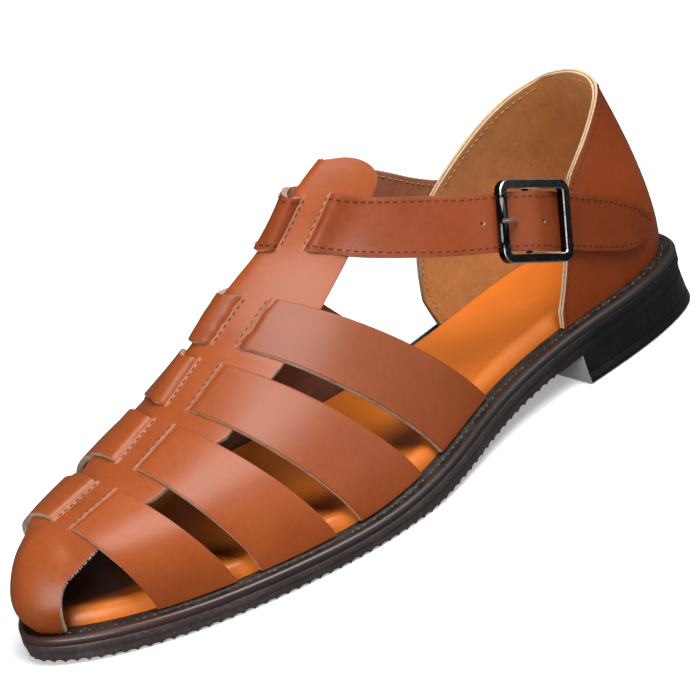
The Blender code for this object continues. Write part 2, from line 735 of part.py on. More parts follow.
def buckle_roller():
    """Tube that turns on the frame's front bar."""
    turns = np.linspace(0, 2 * math.pi, 14, endpoint=False)
    half = ROLLER_LENGTH / 2
    loops = []
    outside, bore = ROLLER_RADIUS, ROLLER_BORE
    for radius, place in ((outside, half), (outside, -half), (bore, -half), (bore, half)):
        ring = [(-HALF_LENGTH + radius * math.cos(turn), place, radius * math.sin(turn)) for turn in turns]
        loops.append(buckle_points(ring))
    ring_solid("buckle_roller", loops, *METAL)


def prong_paths():
    """Wire hooked round the centre bar, then up through the strap's hole and forward over the roller."""
    hook = CENTRE_BAR / 2 + GAP + PRONG_WIRE / 2
    rest = ROLLER_RADIUS + GAP + PRONG_WIRE / 2
    turns = np.radians(np.linspace(-170, 90, 11))
    eye = [(hook * math.cos(turn), 0.0, hook * math.sin(turn) - CENTRE_DEPTH) for turn in turns]
    through = [(-3.0, 0.0, -1.7), (-5.5, 0.0, -1.5), (-8.0, 0.0, -0.3), (-10.5, 0.0, 1.6), (-12.5, 0.0, 2.8)]
    over = [(-HALF_LENGTH, 0.0, rest + 0.1), (-HALF_LENGTH - 2.4, 0.0, rest)]
    return eye + through + over, through


def buckle_prong(strap):
    """The prong, and the hole that it passes in the strap."""
    wire, through = prong_paths()
    swept("buckle_prong", wire, [PRONG_WIRE / 2] * len(wire), False, *METAL)
    combine(strap, swept("prong_hole", through, [HOLE_WIRE / 2] * len(through), False, *METAL), "DIFFERENCE")


def extruded(name, profile, half_width, *finish):
    """Solid with a profile along the strap and out of the buckle's plane, over a width up the buckle."""
    count = len(profile)
    points = [(a, y, n) for y in (-half_width, half_width) for a, n in profile]
    faces = [list(range(count)), list(range(count, 2 * count))]
    for i in range(count):
        after = (i + 1) % count
        faces.append([i, after, count + after, count + i])
    return make_object(name, buckle_points(points), faces, *finish)


def buckle_tab():
    """Leather tab folded round the centre bar, whose tail comes out between the quarter's layers."""
    eye = TAB_EYE / 2
    turns = np.radians(np.linspace(60, 300, 13) - 20)
    profile = [(eye * math.cos(turn), eye * math.sin(turn) - CENTRE_DEPTH) for turn in turns]
    profile += [(TAB_END[0], TAB_END[1] - TAB_TAIL / 2), (TAB_END[0], TAB_END[1] + TAB_TAIL / 2)]
    tab = extruded("buckle_tab", profile, TAB_WIDTH / 2, (0.3, 0.1, 0.04), 0.5)
    bore = CENTRE_BAR / 2 + GAP
    round_turns = np.linspace(0, 2 * math.pi, 12, endpoint=False)
    round_bar = [(bore * math.cos(turn), bore * math.sin(turn) - CENTRE_DEPTH) for turn in round_turns]
    combine(tab, extruded("tab_bore", round_bar, TAB_WIDTH, *METAL), "DIFFERENCE")
    notch_end = CENTRE_BAR / 2 + 2 * GAP + PRONG_WIRE
    notch = [(-TAB_EYE, -3 * TAB_EYE), (notch_end, -3 * TAB_EYE), (notch_end, TAB_EYE), (-TAB_EYE, TAB_EYE)]
    combine(tab, extruded("tab_notch", notch, PRONG_NOTCH / 2, *METAL), "DIFFERENCE")


# Sole pieces

def below_top(depth):
    """Height at a depth under the welt's top edge."""
    return lambda x: top_height(x) - depth


def outsole():
    """One sole under the welt: a step along its side, and scallops along its lower edge."""
    sole_top = below_top(WELT_THICK + GAP)

    def step(x):
        return bottom_height(x) + STEP_SHARE * (sole_top(x) - bottom_height(x))

    def under_step(x):
        return step(x) - STEP_DEPTH

    levels = ((0.5, sole_top), (0.0, step), (0.9, under_step), (1.1, bottom_height), (8.0, bottom_height))
    loops = [loop_at(inset, height, SOLE_STEPS) for inset, height in levels]
    ribs = np.arange(2 * SOLE_STEPS) % 2 * RIB_DEPTH
    loops[3][:, 2] += ribs * smooth((loops[3][:, 0] - RIB_START) / RIB_FADE)
    stacked("outsole", loops, SOLE_STEPS, *RUBBER)


def heel_block():
    """Heel under the outsole, flared to the floor, with a groove over its top piece."""
    loops = [loop_at(HEEL_DRAW, lambda x: bottom_height(x) - GAP, HEEL_STEPS, BREAST_X)]
    for inset, height in HEEL_LEVELS:
        loops.append(loop_at(inset, lambda x, level=height: np.full(len(x), level), HEEL_STEPS, BREAST_X))
    stacked("heel_block", loops, HEEL_STEPS, *RUBBER)


def welt():
    loops = [loop_at(inset, below_top(depth), WELT_STEPS) for inset, depth in WELT_LEVELS]
    ring_solid("welt", loops, *RUBBER)


def footbed():
    loops = [loop_at(FOOTBED_INSET + inset, below_top(depth), WELT_STEPS) for inset, depth in FOOTBED_LEVELS]
    stacked("footbed", loops, WELT_STEPS, (0.62, 0.24, 0.05), 0.4)


def main():
    for old in list(bpy.data.objects):
        bpy.data.objects.remove(old, do_unlink=True)
    outsole()
    heel_block()
    welt()
    footbed()
    upper = spine_and_cap()
    for number, (first, last) in enumerate(reversed(CROSS_STRAPS), 1):
        combine(upper, cross_strap(number, first, last), "UNION")
    strap = instep_strap()
    buckle_prong(strap)
    combine(upper, strap, "UNION")
    quarter_wall()
    buckle_frame()
    buckle_roller()
    buckle_tab()


main()
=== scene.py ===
import math

import bmesh
import bpy
import numpy as np
from mathutils import Matrix


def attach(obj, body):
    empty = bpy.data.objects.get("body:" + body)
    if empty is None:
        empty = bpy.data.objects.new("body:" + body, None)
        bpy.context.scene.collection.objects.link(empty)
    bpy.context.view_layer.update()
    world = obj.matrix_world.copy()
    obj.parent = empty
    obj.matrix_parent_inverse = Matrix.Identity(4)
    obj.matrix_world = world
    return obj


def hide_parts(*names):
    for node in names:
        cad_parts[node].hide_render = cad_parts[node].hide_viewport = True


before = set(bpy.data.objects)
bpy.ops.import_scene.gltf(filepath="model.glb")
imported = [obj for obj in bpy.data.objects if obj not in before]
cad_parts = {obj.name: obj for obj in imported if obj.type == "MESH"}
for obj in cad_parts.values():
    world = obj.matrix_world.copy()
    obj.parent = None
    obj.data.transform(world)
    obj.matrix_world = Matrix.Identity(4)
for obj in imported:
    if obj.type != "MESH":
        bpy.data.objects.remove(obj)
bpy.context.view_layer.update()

# The sandal's looks, in the order in which it is put together. Shapes are worked out in millimetres:
# x from the heel's back to the toe, y from the sole's axis to the lateral side, z up from the floor.


# Outsole
# One moulded rubber sole, black-brown, cemented under the welt and over the heel.
# A step runs along its side; its lower edge is scalloped, and the scallops go on as ribs underneath.
MM = 0.001
HEEL_BACK = (1.5, 0.0)
TOE_TIP = (302.5, -2.0)
SOLE_SECTIONS = (  # from_heel, lateral, medial
    (7.0, 17.0, -17.5),
    (22.0, 26.0, -27.5),
    (46.0, 31.5, -31.5),
    (80.0, 34.3, -29.0),
    (114.0, 38.6, -29.5),
    (148.0, 48.9, -37.5),
    (185.0, 54.2, -47.5),
    (210.0, 52.2, -51.0),
    (235.0, 46.8, -48.5),
    (260.0, 38.2, -41.8),
    (280.0, 26.8, -31.5),
    (294.0, 14.8, -19.0),
)
OUTLINE_STEPS = 400  # along each side
HEEL_TOP, BALL_TOP = 22.3, 8.9  # welt's top edge over the heel and over the ball
FALL_START, FALL_LENGTH = 195.0, 140.0  # where the top rises towards the heel
SPRING_START, SPRING_LENGTH, TOE_SPRING = 200.0, 100.0, 1.7
SOLE_EDGE = 10.5  # welt and outsole together
WELT_THICK = 3.0
TOE_LIFT, LIFT_START = 1.2, 272.0
HEEL_FLARE = 1.1
RIB_DEPTH, RIB_STEPS = 1.0, 6
RIB_START, RIB_FADE = 80.0, 8.0
STEP_SHARE = 0.55
SOLE_STEPS = 480
SOLE_LEVELS = (  # inset, share of the way from the step up to the welt or down to the scallops
    (0.45, 1.0),
    (0.1, 0.93),
    (0.0, 0.8),
    (0.0, 0.1),
    (0.15, 0.0),
    (0.5, -0.06),
    (0.55, -0.25),
    (0.5, -0.6),
    (0.75, -1.0),
)
UNDERSIDE_COLUMNS = 8
RUBBER_DARK, RUBBER_WORN = (0.045, 0.032, 0.031), (0.07, 0.053, 0.05)
SOLE_BLACK = (0.006, 0.005, 0.005)  # darker over the heel, where the sole's side turns near-black
BLACK_START, BLACK_END = -0.085, -0.03  # in metres in front of the frame's origin
TOEWARD = (1.0, 0.0, 0.0)


def smooth(value):
    value = np.clip(value, 0.0, 1.0)
    return value * value * (3 - 2 * value)


def spline(knots, values):
    """Natural cubic curve through the values, as a function of the knots' variable."""
    knots = np.asarray(knots, float)
    values = np.asarray(values, float).reshape(len(knots), -1)
    step = np.diff(knots)[:, None]
    matrix = np.eye(len(knots))
    right = np.zeros_like(values)
    slope = np.diff(values, axis=0) / step
    for i in range(1, len(knots) - 1):
        matrix[i, i - 1 : i + 2] = step[i - 1, 0], 2 * (step[i - 1, 0] + step[i, 0]), step[i, 0]
        right[i] = 6 * (slope[i] - slope[i - 1])
    bend = np.linalg.solve(matrix, right)

    def at(where):
        where = np.atleast_1d(np.asarray(where, float))
        i = np.clip(np.searchsorted(knots, where) - 1, 0, len(knots) - 2)
        b = (where[:, None] - knots[i][:, None]) / step[i]
        a = 1 - b
        curve = ((a**3 - a) * bend[i] + (b**3 - b) * bend[i + 1]) * step[i] ** 2 / 6
        return a * values[i] + b * values[i + 1] + curve

    return at


def lengths(points):
    return np.concatenate([[0.0], np.cumsum(np.linalg.norm(np.diff(points, axis=0), axis=1))])


def along(points, where, carried=None):
    """Points at the given lengths along a polyline, or what it carries at its points."""
    run = lengths(points)
    carried = points if carried is None else carried
    return np.stack([np.interp(where, run, carried[:, axis]) for axis in range(carried.shape[1])], axis=1)


def resample(points, count):
    return along(points, np.linspace(0, lengths(points)[-1], count + 1))


def sole_outline():
    """Closed loop round the sole at the welt: heel back, lateral side, toe tip, medial side."""
    lateral = [(x, side) for x, side, _ in SOLE_SECTIONS]
    medial = [(x, side) for x, _, side in reversed(SOLE_SECTIONS)]
    ring = np.array([HEEL_BACK, *lateral, TOE_TIP, *medial])
    count = len(ring)
    turns = np.concatenate([ring, ring, ring, ring[:1]])
    knots = lengths(turns)
    curve = spline(knots, turns)
    toe = count + len(SOLE_SECTIONS) + 1
    halves = []
    for start, end in ((count, toe), (toe, 2 * count)):
        fine = curve(np.linspace(knots[start], knots[end], 8 * OUTLINE_STEPS))
        halves.append(resample(fine, OUTLINE_STEPS)[:-1])
    return np.concatenate(halves)


def unit(vectors):
    """Vectors of length 1 in the same directions."""
    return vectors / np.maximum(np.linalg.norm(vectors, axis=-1, keepdims=True), 1e-9)


def inset_loop(loop, inset):
    run = np.roll(loop, -1, axis=0) - np.roll(loop, 1, axis=0)
    return loop + inset * unit(np.stack([run[:, 1], -run[:, 0]], axis=1))


OUTLINE = sole_outline()
ORIGIN = np.array(  # the frame's origin lies under the middle of the sole's box
    (
        (inset_loop(OUTLINE, -HEEL_FLARE)[:, 0].min() + OUTLINE[:, 0].max()) / 2,
        (OUTLINE[:, 1].min() + OUTLINE[:, 1].max()) / 2,
        0.0,
    )
)


def sides(inset, last_x=None):
    """Lateral and medial half of the inset outline, both from the heel's back towards the toe."""
    loop = inset_loop(OUTLINE, inset)
    lateral = loop[: OUTLINE_STEPS + 1]
    medial = np.concatenate([loop[OUTLINE_STEPS:], loop[:1]])[::-1]
    if last_x is None:
        return lateral, medial
    cut = []
    for half in (lateral, medial):
        end = int(np.argmax(half[:, 0] > last_x))
        share = (last_x - half[end - 1, 0]) / (half[end, 0] - half[end - 1, 0])
        stop = half[end - 1] + share * (half[end] - half[end - 1])
        cut.append(np.concatenate([half[:end], [stop]]))
    return cut


def top_height(x):
    rise = (HEEL_TOP - BALL_TOP) * smooth((FALL_START - x) / FALL_LENGTH)
    return BALL_TOP + rise + TOE_SPRING * np.clip((x - SPRING_START) / SPRING_LENGTH, 0, None) ** 2


def bottom_height(x):
    lift = TOE_LIFT * np.clip((x - LIFT_START) / (TOE_TIP[0] - LIFT_START), 0, None) ** 2
    return np.maximum(top_height(x) - SOLE_EDGE, 0.0) * (x < FALL_START) + lift


def loop_at(inset, height, count, last_x=None):
    """Ring of points on the inset outline: lateral side to the front, then the medial side back."""
    lateral, medial = (resample(half, count) for half in sides(inset, last_x))
    back = medial[:0:-1] if last_x is not None else medial[-2:0:-1]
    ring = np.concatenate([lateral, back])
    return np.column_stack([ring, height(ring[:, 0])])


def below_top(depth):
    """Height at a depth under the welt's top edge."""
    return lambda x: top_height(x) - depth


def add_node(tree, kind, inputs=None, **settings):
    """New shader node with its settings, and its inputs given as values or as sockets to link."""
    node = tree.nodes.new(kind)
    for key, value in settings.items():
        setattr(node, key, value)
    for key, value in (inputs or {}).items():
        if isinstance(value, bpy.types.NodeSocket):
            tree.links.new(value, node.inputs[key])
        else:
            node.inputs[key].default_value = value
    return node


def new_group(name, inputs, outputs):
    """Node group with float sockets, and its input and output nodes."""
    group = bpy.data.node_groups.new(name, "ShaderNodeTree")
    for socket, value in inputs:
        added = group.interface.new_socket(name=socket, in_out="INPUT", socket_type="NodeSocketFloat")
        added.default_value = value
    for socket in outputs:
        group.interface.new_socket(name=socket, in_out="OUTPUT", socket_type="NodeSocketFloat")
    return group, group.nodes.new("NodeGroupInput"), group.nodes.new("NodeGroupOutput")


def own_place(tree):
    """Place on the piece, in metres from the frame's origin."""
    return add_node(tree, "ShaderNodeTexCoord").outputs["Object"]


def noise(tree, scale, **inputs):
    node = add_node(tree, "ShaderNodeTexNoise", {"Vector": own_place(tree), "Scale": scale, **inputs})
    return node.outputs["Fac"]


def spread(tree, value, low, high):
    """A value stretched so that low becomes 0 and high becomes 1."""
    node = add_node(tree, "ShaderNodeMapRange", {"Value": value, "From Min": low, "From Max": high})
    return node.outputs["Result"]


def calculated(tree, operation, first, second):
    return add_node(tree, "ShaderNodeMath", {0: first, 1: second}, operation=operation).outputs[0]


def blended(tree, factor, first, second, kind="RGBA"):
    """Mix of two colours, or of two numbers where the kind is FLOAT."""
    node = add_node(tree, "ShaderNodeMix", {"Factor": factor, "A": first, "B": second}, data_type=kind)
    return node.outputs["Result"]


def scuffed_rubber_group():
    """Rubber's dull patches and fine scratches, and its faint pitted surface."""
    group, given, result = new_group("scuffed_rubber", [("Patch Scale", 90.0)], ["Scuff", "Pits"])
    patches = noise(group, given.outputs["Patch Scale"], Detail=5.0)
    scratches = noise(group, 700.0, Detail=3.0)
    scuff = spread(group, calculated(group, "MULTIPLY", patches, scratches), 0.22, 0.4)
    group.links.new(scuff, result.inputs["Scuff"])
    group.links.new(noise(group, 1500.0, Detail=2.0), result.inputs["Pits"])
    return group


SCUFFED_RUBBER = scuffed_rubber_group()


def place_group(tree, group, inputs):
    """The group's node in a material, with its own values."""
    return add_node(tree, "ShaderNodeGroup", inputs, node_tree=group)


def new_material(name, **constants):
    """Material with its shader, whose constant values are set on the shader's own sockets."""
    material = bpy.data.materials.new(name)
    material.use_nodes = True
    shader = material.node_tree.nodes["Principled BSDF"]
    for key, value in constants.items():
        shader.inputs[key.replace("_", " ")].default_value = value
    return material, material.node_tree, shader


def two_tone(tree, shader, mask, dark, light, roughness):
    """Base colour and roughness that follow a mask from one value to the other."""
    tree.links.new(blended(tree, mask, (*dark, 1.0), (*light, 1.0)), shader.inputs["Base Color"])
    ends = {"To Min": roughness[0], "To Max": roughness[1]}
    rough = add_node(tree, "ShaderNodeMapRange", {"Value": mask, **ends})
    tree.links.new(rough.outputs["Result"], shader.inputs["Roughness"])


def bumped(tree, shader, height, strength, distance):
    depth = {"Strength": strength, "Distance": distance * MM}
    bump = add_node(tree, "ShaderNodeBump", {"Height": height, **depth})
    tree.links.new(bump.outputs["Normal"], shader.inputs["Normal"])


def rubber(name, dark, worn, roughness, patch_scale=90.0, coat=0.0):
    material, tree, shader = new_material(name, Coat_Weight=coat, Coat_Roughness=0.15)
    effect = place_group(tree, SCUFFED_RUBBER, {"Patch Scale": patch_scale})
    two_tone(tree, shader, effect.outputs["Scuff"], dark, worn, roughness)
    bumped(tree, shader, effect.outputs["Pits"], 0.25, 0.1)
    return material


def mask_along(tree, direction, start, end):
    """Mask that rises in a direction between two places, in metres from the frame's origin."""
    run = add_node(tree, "ShaderNodeVectorMath", {0: own_place(tree), 1: direction}, operation="DOT_PRODUCT")
    return spread(tree, run.outputs["Value"], start, end)


def tint(material, mask, colour):
    """Blends a colour over a material's own where the mask is high."""
    tree = material.node_tree
    shader = tree.nodes["Principled BSDF"]
    own = shader.inputs["Base Color"].links[0].from_socket
    tree.links.new(blended(tree, mask, own, (*colour, 1.0)), shader.inputs["Base Color"])


def make_piece(name, points, faces, materials, skins=None, sharp=50.0, rounded=0.0):
    """Mesh piece from points in millimetres; edges between two skins are rounded by the given radius."""
    mesh = bpy.data.meshes.new(name)
    mesh.from_pydata(((np.asarray(points) - ORIGIN) * MM).tolist(), [], faces)
    if skins is not None:
        mesh.polygons.foreach_set("material_index", skins)
    shape = bmesh.new()
    shape.from_mesh(mesh)
    bmesh.ops.remove_doubles(shape, verts=shape.verts, dist=0.01 * MM)
    bmesh.ops.dissolve_degenerate(shape, edges=shape.edges, dist=0.005 * MM)
    bmesh.ops.recalc_face_normals(shape, faces=shape.faces)
    if rounded:
        rims = [edge for edge in shape.edges if len({face.material_index for face in edge.link_faces}) > 1]
        bmesh.ops.bevel(
            shape, geom=rims, offset=rounded * MM, segments=2, profile=0.6, affect="EDGES", clamp_overlap=True
        )
    shape.to_mesh(mesh)
    shape.free()
    mesh.shade_smooth()
    mesh.set_sharp_from_angle(angle=math.radians(sharp))
    for material in materials:
        mesh.materials.append(material)
    piece = bpy.data.objects.new(name, mesh)
    bpy.context.scene.collection.objects.link(piece)
    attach(piece, "root")
    return piece


def cross_bands(start, ring, count, columns, points):
    """Points and faces across a ring, from its lateral to its medial side, in columns."""
    added, rows = [], []
    next_free = len(points)
    for k in range(count + 1):
        left, right = start + k % ring, start + (ring - k) % ring
        row = [left]
        for share in np.arange(1, columns) / columns:
            added.append(points[left] * (1 - share) + points[right] * share)
            row.append(next_free)
            next_free += 1
        rows.append(row + [right])
    faces = []
    for first, second in zip(rows, rows[1:]):
        for j in range(columns):
            faces.append([first[j], second[j], second[j + 1], first[j + 1]])
    return added, faces


def ring_faces(low, high, count):
    """Faces between two rings, given the number of each ring's first point."""
    return [[low + k, low + after, high + after, high + k] for k, after in enumerate([*range(1, count), 0])]


def stacked(loops, count, columns):
    """Points and faces of a closed stack of rings, with bands across the first and the last."""
    ring = len(loops[0])
    points = np.concatenate(loops)
    faces = []
    for level in range(len(loops) - 1):
        faces += ring_faces(level * ring, (level + 1) * ring, ring)
    for start in (0, ring * (len(loops) - 1)):
        added, bands = cross_bands(start, ring, count, columns, points)
        points = np.concatenate([points, added])
        faces += bands
    return points, [list(dict.fromkeys(face)) for face in faces]


def outsole_loops():
    rng = np.random.default_rng(11)
    turn = np.arange(SOLE_STEPS + 1) % RIB_STEPS / RIB_STEPS
    uneven = rng.uniform(0.75, 1.0, SOLE_STEPS // RIB_STEPS + 1)[np.arange(SOLE_STEPS + 1) // RIB_STEPS]
    half = RIB_DEPTH * uneven * np.sin(math.pi * turn) ** 0.7
    ribs = np.concatenate([half, half[-2:0:-1]])
    sole_top = below_top(WELT_THICK)
    loops = []
    for inset, share in SOLE_LEVELS:
        loop = loop_at(inset, bottom_height, SOLE_STEPS)
        low, high = bottom_height(loop[:, 0]), sole_top(loop[:, 0])
        step = low + STEP_SHARE * (high - low)
        floor = low + ribs * smooth((loop[:, 0] - RIB_START) / RIB_FADE)
        loop[:, 2] = step + (high - step) * share if share >= 0 else step + (step - floor) * share
        loops.append(loop)
    return loops


sole_rubber = rubber("sole_rubber", RUBBER_DARK, RUBBER_WORN, (0.38, 0.55), coat=0.05)
tint(sole_rubber, mask_along(sole_rubber.node_tree, TOEWARD, BLACK_END, BLACK_START), SOLE_BLACK)
points, faces = stacked(outsole_loops(), SOLE_STEPS, UNDERSIDE_COLUMNS)
outsole = make_piece("sole_outsole", points, faces, [sole_rubber], sharp=35)
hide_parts("outsole")


# Heel
# A solid black rubber heel, polished on its side and left matte on its breast, nailed under the outsole.
# It flares a little towards the floor; a fine groove shows where its top piece is cemented on.
BREAST_X = 72.5
HEEL_DRAW = 0.5  # inset of the heel's top edge under the sole
HEEL_STEPS, SEAT_COLUMNS = 90, 6
HEEL_LEVELS = (  # inset, height
    (0.2, 9.0),
    (-0.1, 6.5),
    (-0.35, 4.6),
    (-0.1, 4.4),
    (-0.1, 4.1),
    (-0.45, 3.9),
    (-0.8, 2.2),
    (-HEEL_FLARE, 0.9),
    (-HEEL_FLARE + 0.1, 0.4),
    (-0.4, 0.0),
)
HEEL_DARK, HEEL_WORN = (0.004, 0.0035, 0.0035), (0.007, 0.006, 0.006)
BREAST_DARK, BREAST_WORN = (0.3, 0.29, 0.285), (0.38, 0.37, 0.36)

heel_loops = [loop_at(HEEL_DRAW, bottom_height, HEEL_STEPS, BREAST_X)]
for inset, height in HEEL_LEVELS:
    heel_loops.append(loop_at(inset, lambda x, level=height: np.full(len(x), level), HEEL_STEPS, BREAST_X))
points, faces = stacked(heel_loops, HEEL_STEPS, SEAT_COLUMNS)
on_breast = [int(all(points[corner][0] > BREAST_X - 0.2 for corner in face)) for face in faces]
heel_polish = rubber("heel_polish", HEEL_DARK, HEEL_WORN, (0.2, 0.26), coat=0.2)
heel_breast = rubber("heel_breast", BREAST_DARK, BREAST_WORN, (0.6, 0.75))
heel = make_piece("heel", points, faces, [heel_polish, heel_breast], on_breast, sharp=35)
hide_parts("heel_block")


# Welt
# A flat strip of dark rubber round the whole sole, stitched down through a shallow channel.
# Its outer edge is a burnished bead, grey along the sides and red-brown at the toe; the thread is worn.
WELT_STEPS = 320
UPWARD = (0.0, 0.0, 1.0)
WELT_WIDTH = 8.7
CHANNEL, CHANNEL_DEPTH = 4.7, 0.75  # middle of the stitch channel, from the edge; the stitches' depth
WELT_LEVELS = (  # inset, depth, burnished bead or not
    (0.3, WELT_THICK, 1),
    (0.05, 2.7, 1),
    (0.0, 1.9, 1),
    (0.0, 1.2, 1),
    (0.2, 0.6, 1),
    (0.65, 0.15, 1),
    (1.2, 0.0, 1),
    (1.75, 0.15, 0),
    (2.1, 0.4, 0),
    (CHANNEL - 0.8, 0.4, 0),
    (CHANNEL - 0.4, 0.7, 0),
    (CHANNEL, 0.8, 0),
    (CHANNEL + 0.4, 0.7, 0),
    (CHANNEL + 0.8, 0.4, 0),
    (WELT_WIDTH, 0.4, 0),
    (WELT_WIDTH, WELT_THICK, 0),
)
WELT_DARK, WELT_WORN = (0.009, 0.0065, 0.006), (0.035, 0.026, 0.023)
BEAD_GREY, BEAD_RED = (0.027, 0.02, 0.019), (0.05, 0.02, 0.017)
RED_START, RED_END = 0.085, 0.125  # in metres in front of the frame's origin
WELT_THREAD = (0.2, 0.175, 0.155)
WELT_STITCH = (1.1, 2.6, 0.5)  # length, gap, width
STITCH_RINGS = ((0.0, 0.3), (0.15, 0.85), (0.5, 1.0), (0.85, 0.85), (1.0, 0.3))  # share of length, of radius
STITCH_SIDES = 6


def ring_solid(loops):
    """Points and faces of a closed band whose section runs round through the loops."""
    ring = len(loops[0])
    faces = []
    for level in range(len(loops)):
        faces += ring_faces(level * ring, (level + 1) % len(loops) * ring, ring)
    return np.concatenate(loops), faces


def scaled(colour, tone):
    return tuple(tone * part for part in colour)


def thread(name, colour):
    """Twisted waxed thread."""
    material, tree, shader = new_material(name)
    twist = noise(tree, 1800.0, Detail=2.0)
    two_tone(tree, shader, twist, scaled(colour, 0.45), colour, (0.5, 0.75))
    bumped(tree, shader, twist, 0.6, 0.15)
    return material


def stitch_rows(name, rows, size, material, uneven=0.15, sunk=0.25):
    """Short threads of a length, gap and width along rows, each row a path with its outward directions.

    They lie in the material by the part sunk of their width.
    """
    rng = np.random.default_rng(5)
    length, gap, width = size
    points, faces = [], []
    turns = np.linspace(0, 2 * math.pi, STITCH_SIDES, endpoint=False)
    for path, outward in rows:
        total = lengths(path)[-1]
        count = max(1, int(total // (length + gap)))
        pitch = total / count
        for k in range(count):
            start = (k + rng.uniform(0, uneven)) * pitch
            own = length * (1 - rng.uniform(0, uneven))
            where = start + own * np.array([share for share, _ in STITCH_RINGS])
            centres, ups = along(path, where), unit(along(path, where, outward))
            sideways = unit(np.cross(ups, centres[-1] - centres[0]))
            rings = [len(points) + ring * STITCH_SIDES for ring in range(len(STITCH_RINGS))]
            for centre, up, beside, (_, share) in zip(centres, ups, sideways, STITCH_RINGS):
                middle = centre + up * width * (0.5 - sunk) * share
                for turn in turns:
                    aside = math.cos(turn) * beside + math.sin(turn) * up
                    points.append(middle + share * width / 2 * aside)
            for low, high in zip(rings, rings[1:]):
                faces += ring_faces(low, high, STITCH_SIDES)
            faces += [list(range(end, end + STITCH_SIDES)) for end in (rings[0], rings[-1])]
    return make_piece(name, points, faces, [material])


def burnished_bead():
    """The welt's outer edge, whose colour turns from grey to red-brown towards the toe."""
    material, tree, shader = new_material("welt_bead", Coat_Weight=0.2, Coat_Roughness=0.25)
    two_tone(tree, shader, mask_along(tree, TOEWARD, RED_START, RED_END), BEAD_GREY, BEAD_RED, (0.34, 0.4))
    effect = place_group(tree, SCUFFED_RUBBER, {"Patch Scale": 200.0})
    bumped(tree, shader, effect.outputs["Pits"], 0.2, 0.1)
    return material


welt_loops = [loop_at(inset, below_top(depth), WELT_STEPS) for inset, depth, _ in WELT_LEVELS]
points, faces = ring_solid(welt_loops)
burnished = np.repeat([row[2] for row in WELT_LEVELS], len(welt_loops[0]))
welt_rubber = rubber("welt_rubber", WELT_DARK, WELT_WORN, (0.5, 0.8), patch_scale=260.0)
welt = make_piece("welt_strip", points, faces, [welt_rubber, burnished_bead()], burnished, sharp=60)
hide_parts("welt")

channel = loop_at(CHANNEL, below_top(CHANNEL_DEPTH), WELT_STEPS)
channel = np.concatenate([channel, channel[:1]])
upward = np.tile(UPWARD, (len(channel), 1))
welt_thread = thread("welt_thread", WELT_THREAD)
welt_stitches = stitch_rows("welt_stitches", [(channel, upward)], WELT_STITCH, welt_thread, uneven=0.7)


# Footbed
# A raised insole of smooth orange leather with a soft rounded edge, lying inside the welt.
# It is wrapped over a cork core and cemented to the outsole.
FOOTBED_INSET, FOOTBED_RISE = 9.0, 5.4
FOOTBED_STEPS, FOOTBED_COLUMNS = 200, 10
FOOTBED_LEVELS = (  # inset, share of the rise
    (0.0, -0.5),
    (0.1, 0.1),
    (0.3, 0.32),
    (0.7, 0.55),
    (1.3, 0.75),
    (2.1, 0.9),
    (3.0, 0.98),
    (4.0, 1.0),
    (5.2, 0.97),
    (8.0, 0.95),
)
FOOTBED_DARK, FOOTBED_LIGHT = (0.66, 0.16, 0.018), (0.74, 0.19, 0.023)
PAINTED_SHADE_COLOUR = (0.07, 0.019, 0.008)  # painted shade: the footbed is darkened under the toe cap, except along its lit lateral edge
SHADE_START, SHADE_END = 0.06, 0.105  # in metres in front of the frame's origin
EDGE_DIRECTION = (0.343, 0.939, 0.0)  # out of the forepart's lateral edge
EDGE_START, EDGE_END = 0.048, 0.056


def leather_grain_group():
    """Cloudy tone of dyed leather, its fine pebbled grain and hairline creases."""
    scales = [("Cloud Scale", 45.0), ("Grain Scale", 1300.0)]
    group, given, result = new_group("leather_grain", scales, ["Tone", "Grain"])
    clouds = noise(group, given.outputs["Cloud Scale"], Detail=4.0, Distortion=0.4)
    specks = noise(group, 420.0, Detail=4.0)
    tone = spread(group, blended(group, 0.35, clouds, specks, "FLOAT"), 0.33, 0.67)
    pebbles = {"Vector": own_place(group), "Scale": given.outputs["Grain Scale"]}
    pebbles = add_node(group, "ShaderNodeTexVoronoi", pebbles, feature="SMOOTH_F1").outputs["Distance"]
    grain = calculated(group, "ADD", pebbles, noise(group, 260.0, Detail=6.0))
    group.links.new(tone, result.inputs["Tone"])
    group.links.new(grain, result.inputs["Grain"])
    return group


LEATHER_GRAIN = leather_grain_group()


def leather(name, dark, light, roughness, coat=0.2, depth=0.08, cloud_scale=45.0):
    """Smooth dyed leather with a waxed finish."""
    material, tree, shader = new_material(name, Coat_Weight=coat, Coat_Roughness=0.3, Specular_IOR_Level=0.3)
    effect = place_group(tree, LEATHER_GRAIN, {"Cloud Scale": cloud_scale})
    two_tone(tree, shader, effect.outputs["Tone"], dark, light, roughness)
    bumped(tree, shader, effect.outputs["Grain"], 0.3, depth)
    return material


def footbed_height(share):
    return lambda x: top_height(x) + share * FOOTBED_RISE


footbed_loops = [
    loop_at(FOOTBED_INSET + inset, footbed_height(share), FOOTBED_STEPS) for inset, share in FOOTBED_LEVELS
]
footbed_leather = leather("footbed_leather", FOOTBED_DARK, FOOTBED_LIGHT, (0.32, 0.4), coat=0.15, depth=0.05)
footbed_tree = footbed_leather.node_tree
# painted shade over the forepart's footbed, fading out towards its lit lateral edge
shaded_under_cap = mask_along(footbed_tree, TOEWARD, SHADE_START, SHADE_END)
off_lit_edge = mask_along(footbed_tree, EDGE_DIRECTION, EDGE_END, EDGE_START)
tint(footbed_leather, calculated(footbed_tree, "MULTIPLY", shaded_under_cap, off_lit_edge), PAINTED_SHADE_COLOUR)
points, faces = stacked(footbed_loops, FOOTBED_STEPS, FOOTBED_COLUMNS)
footbed = make_piece("leather_footbed", points, faces, [footbed_leather])
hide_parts("footbed")


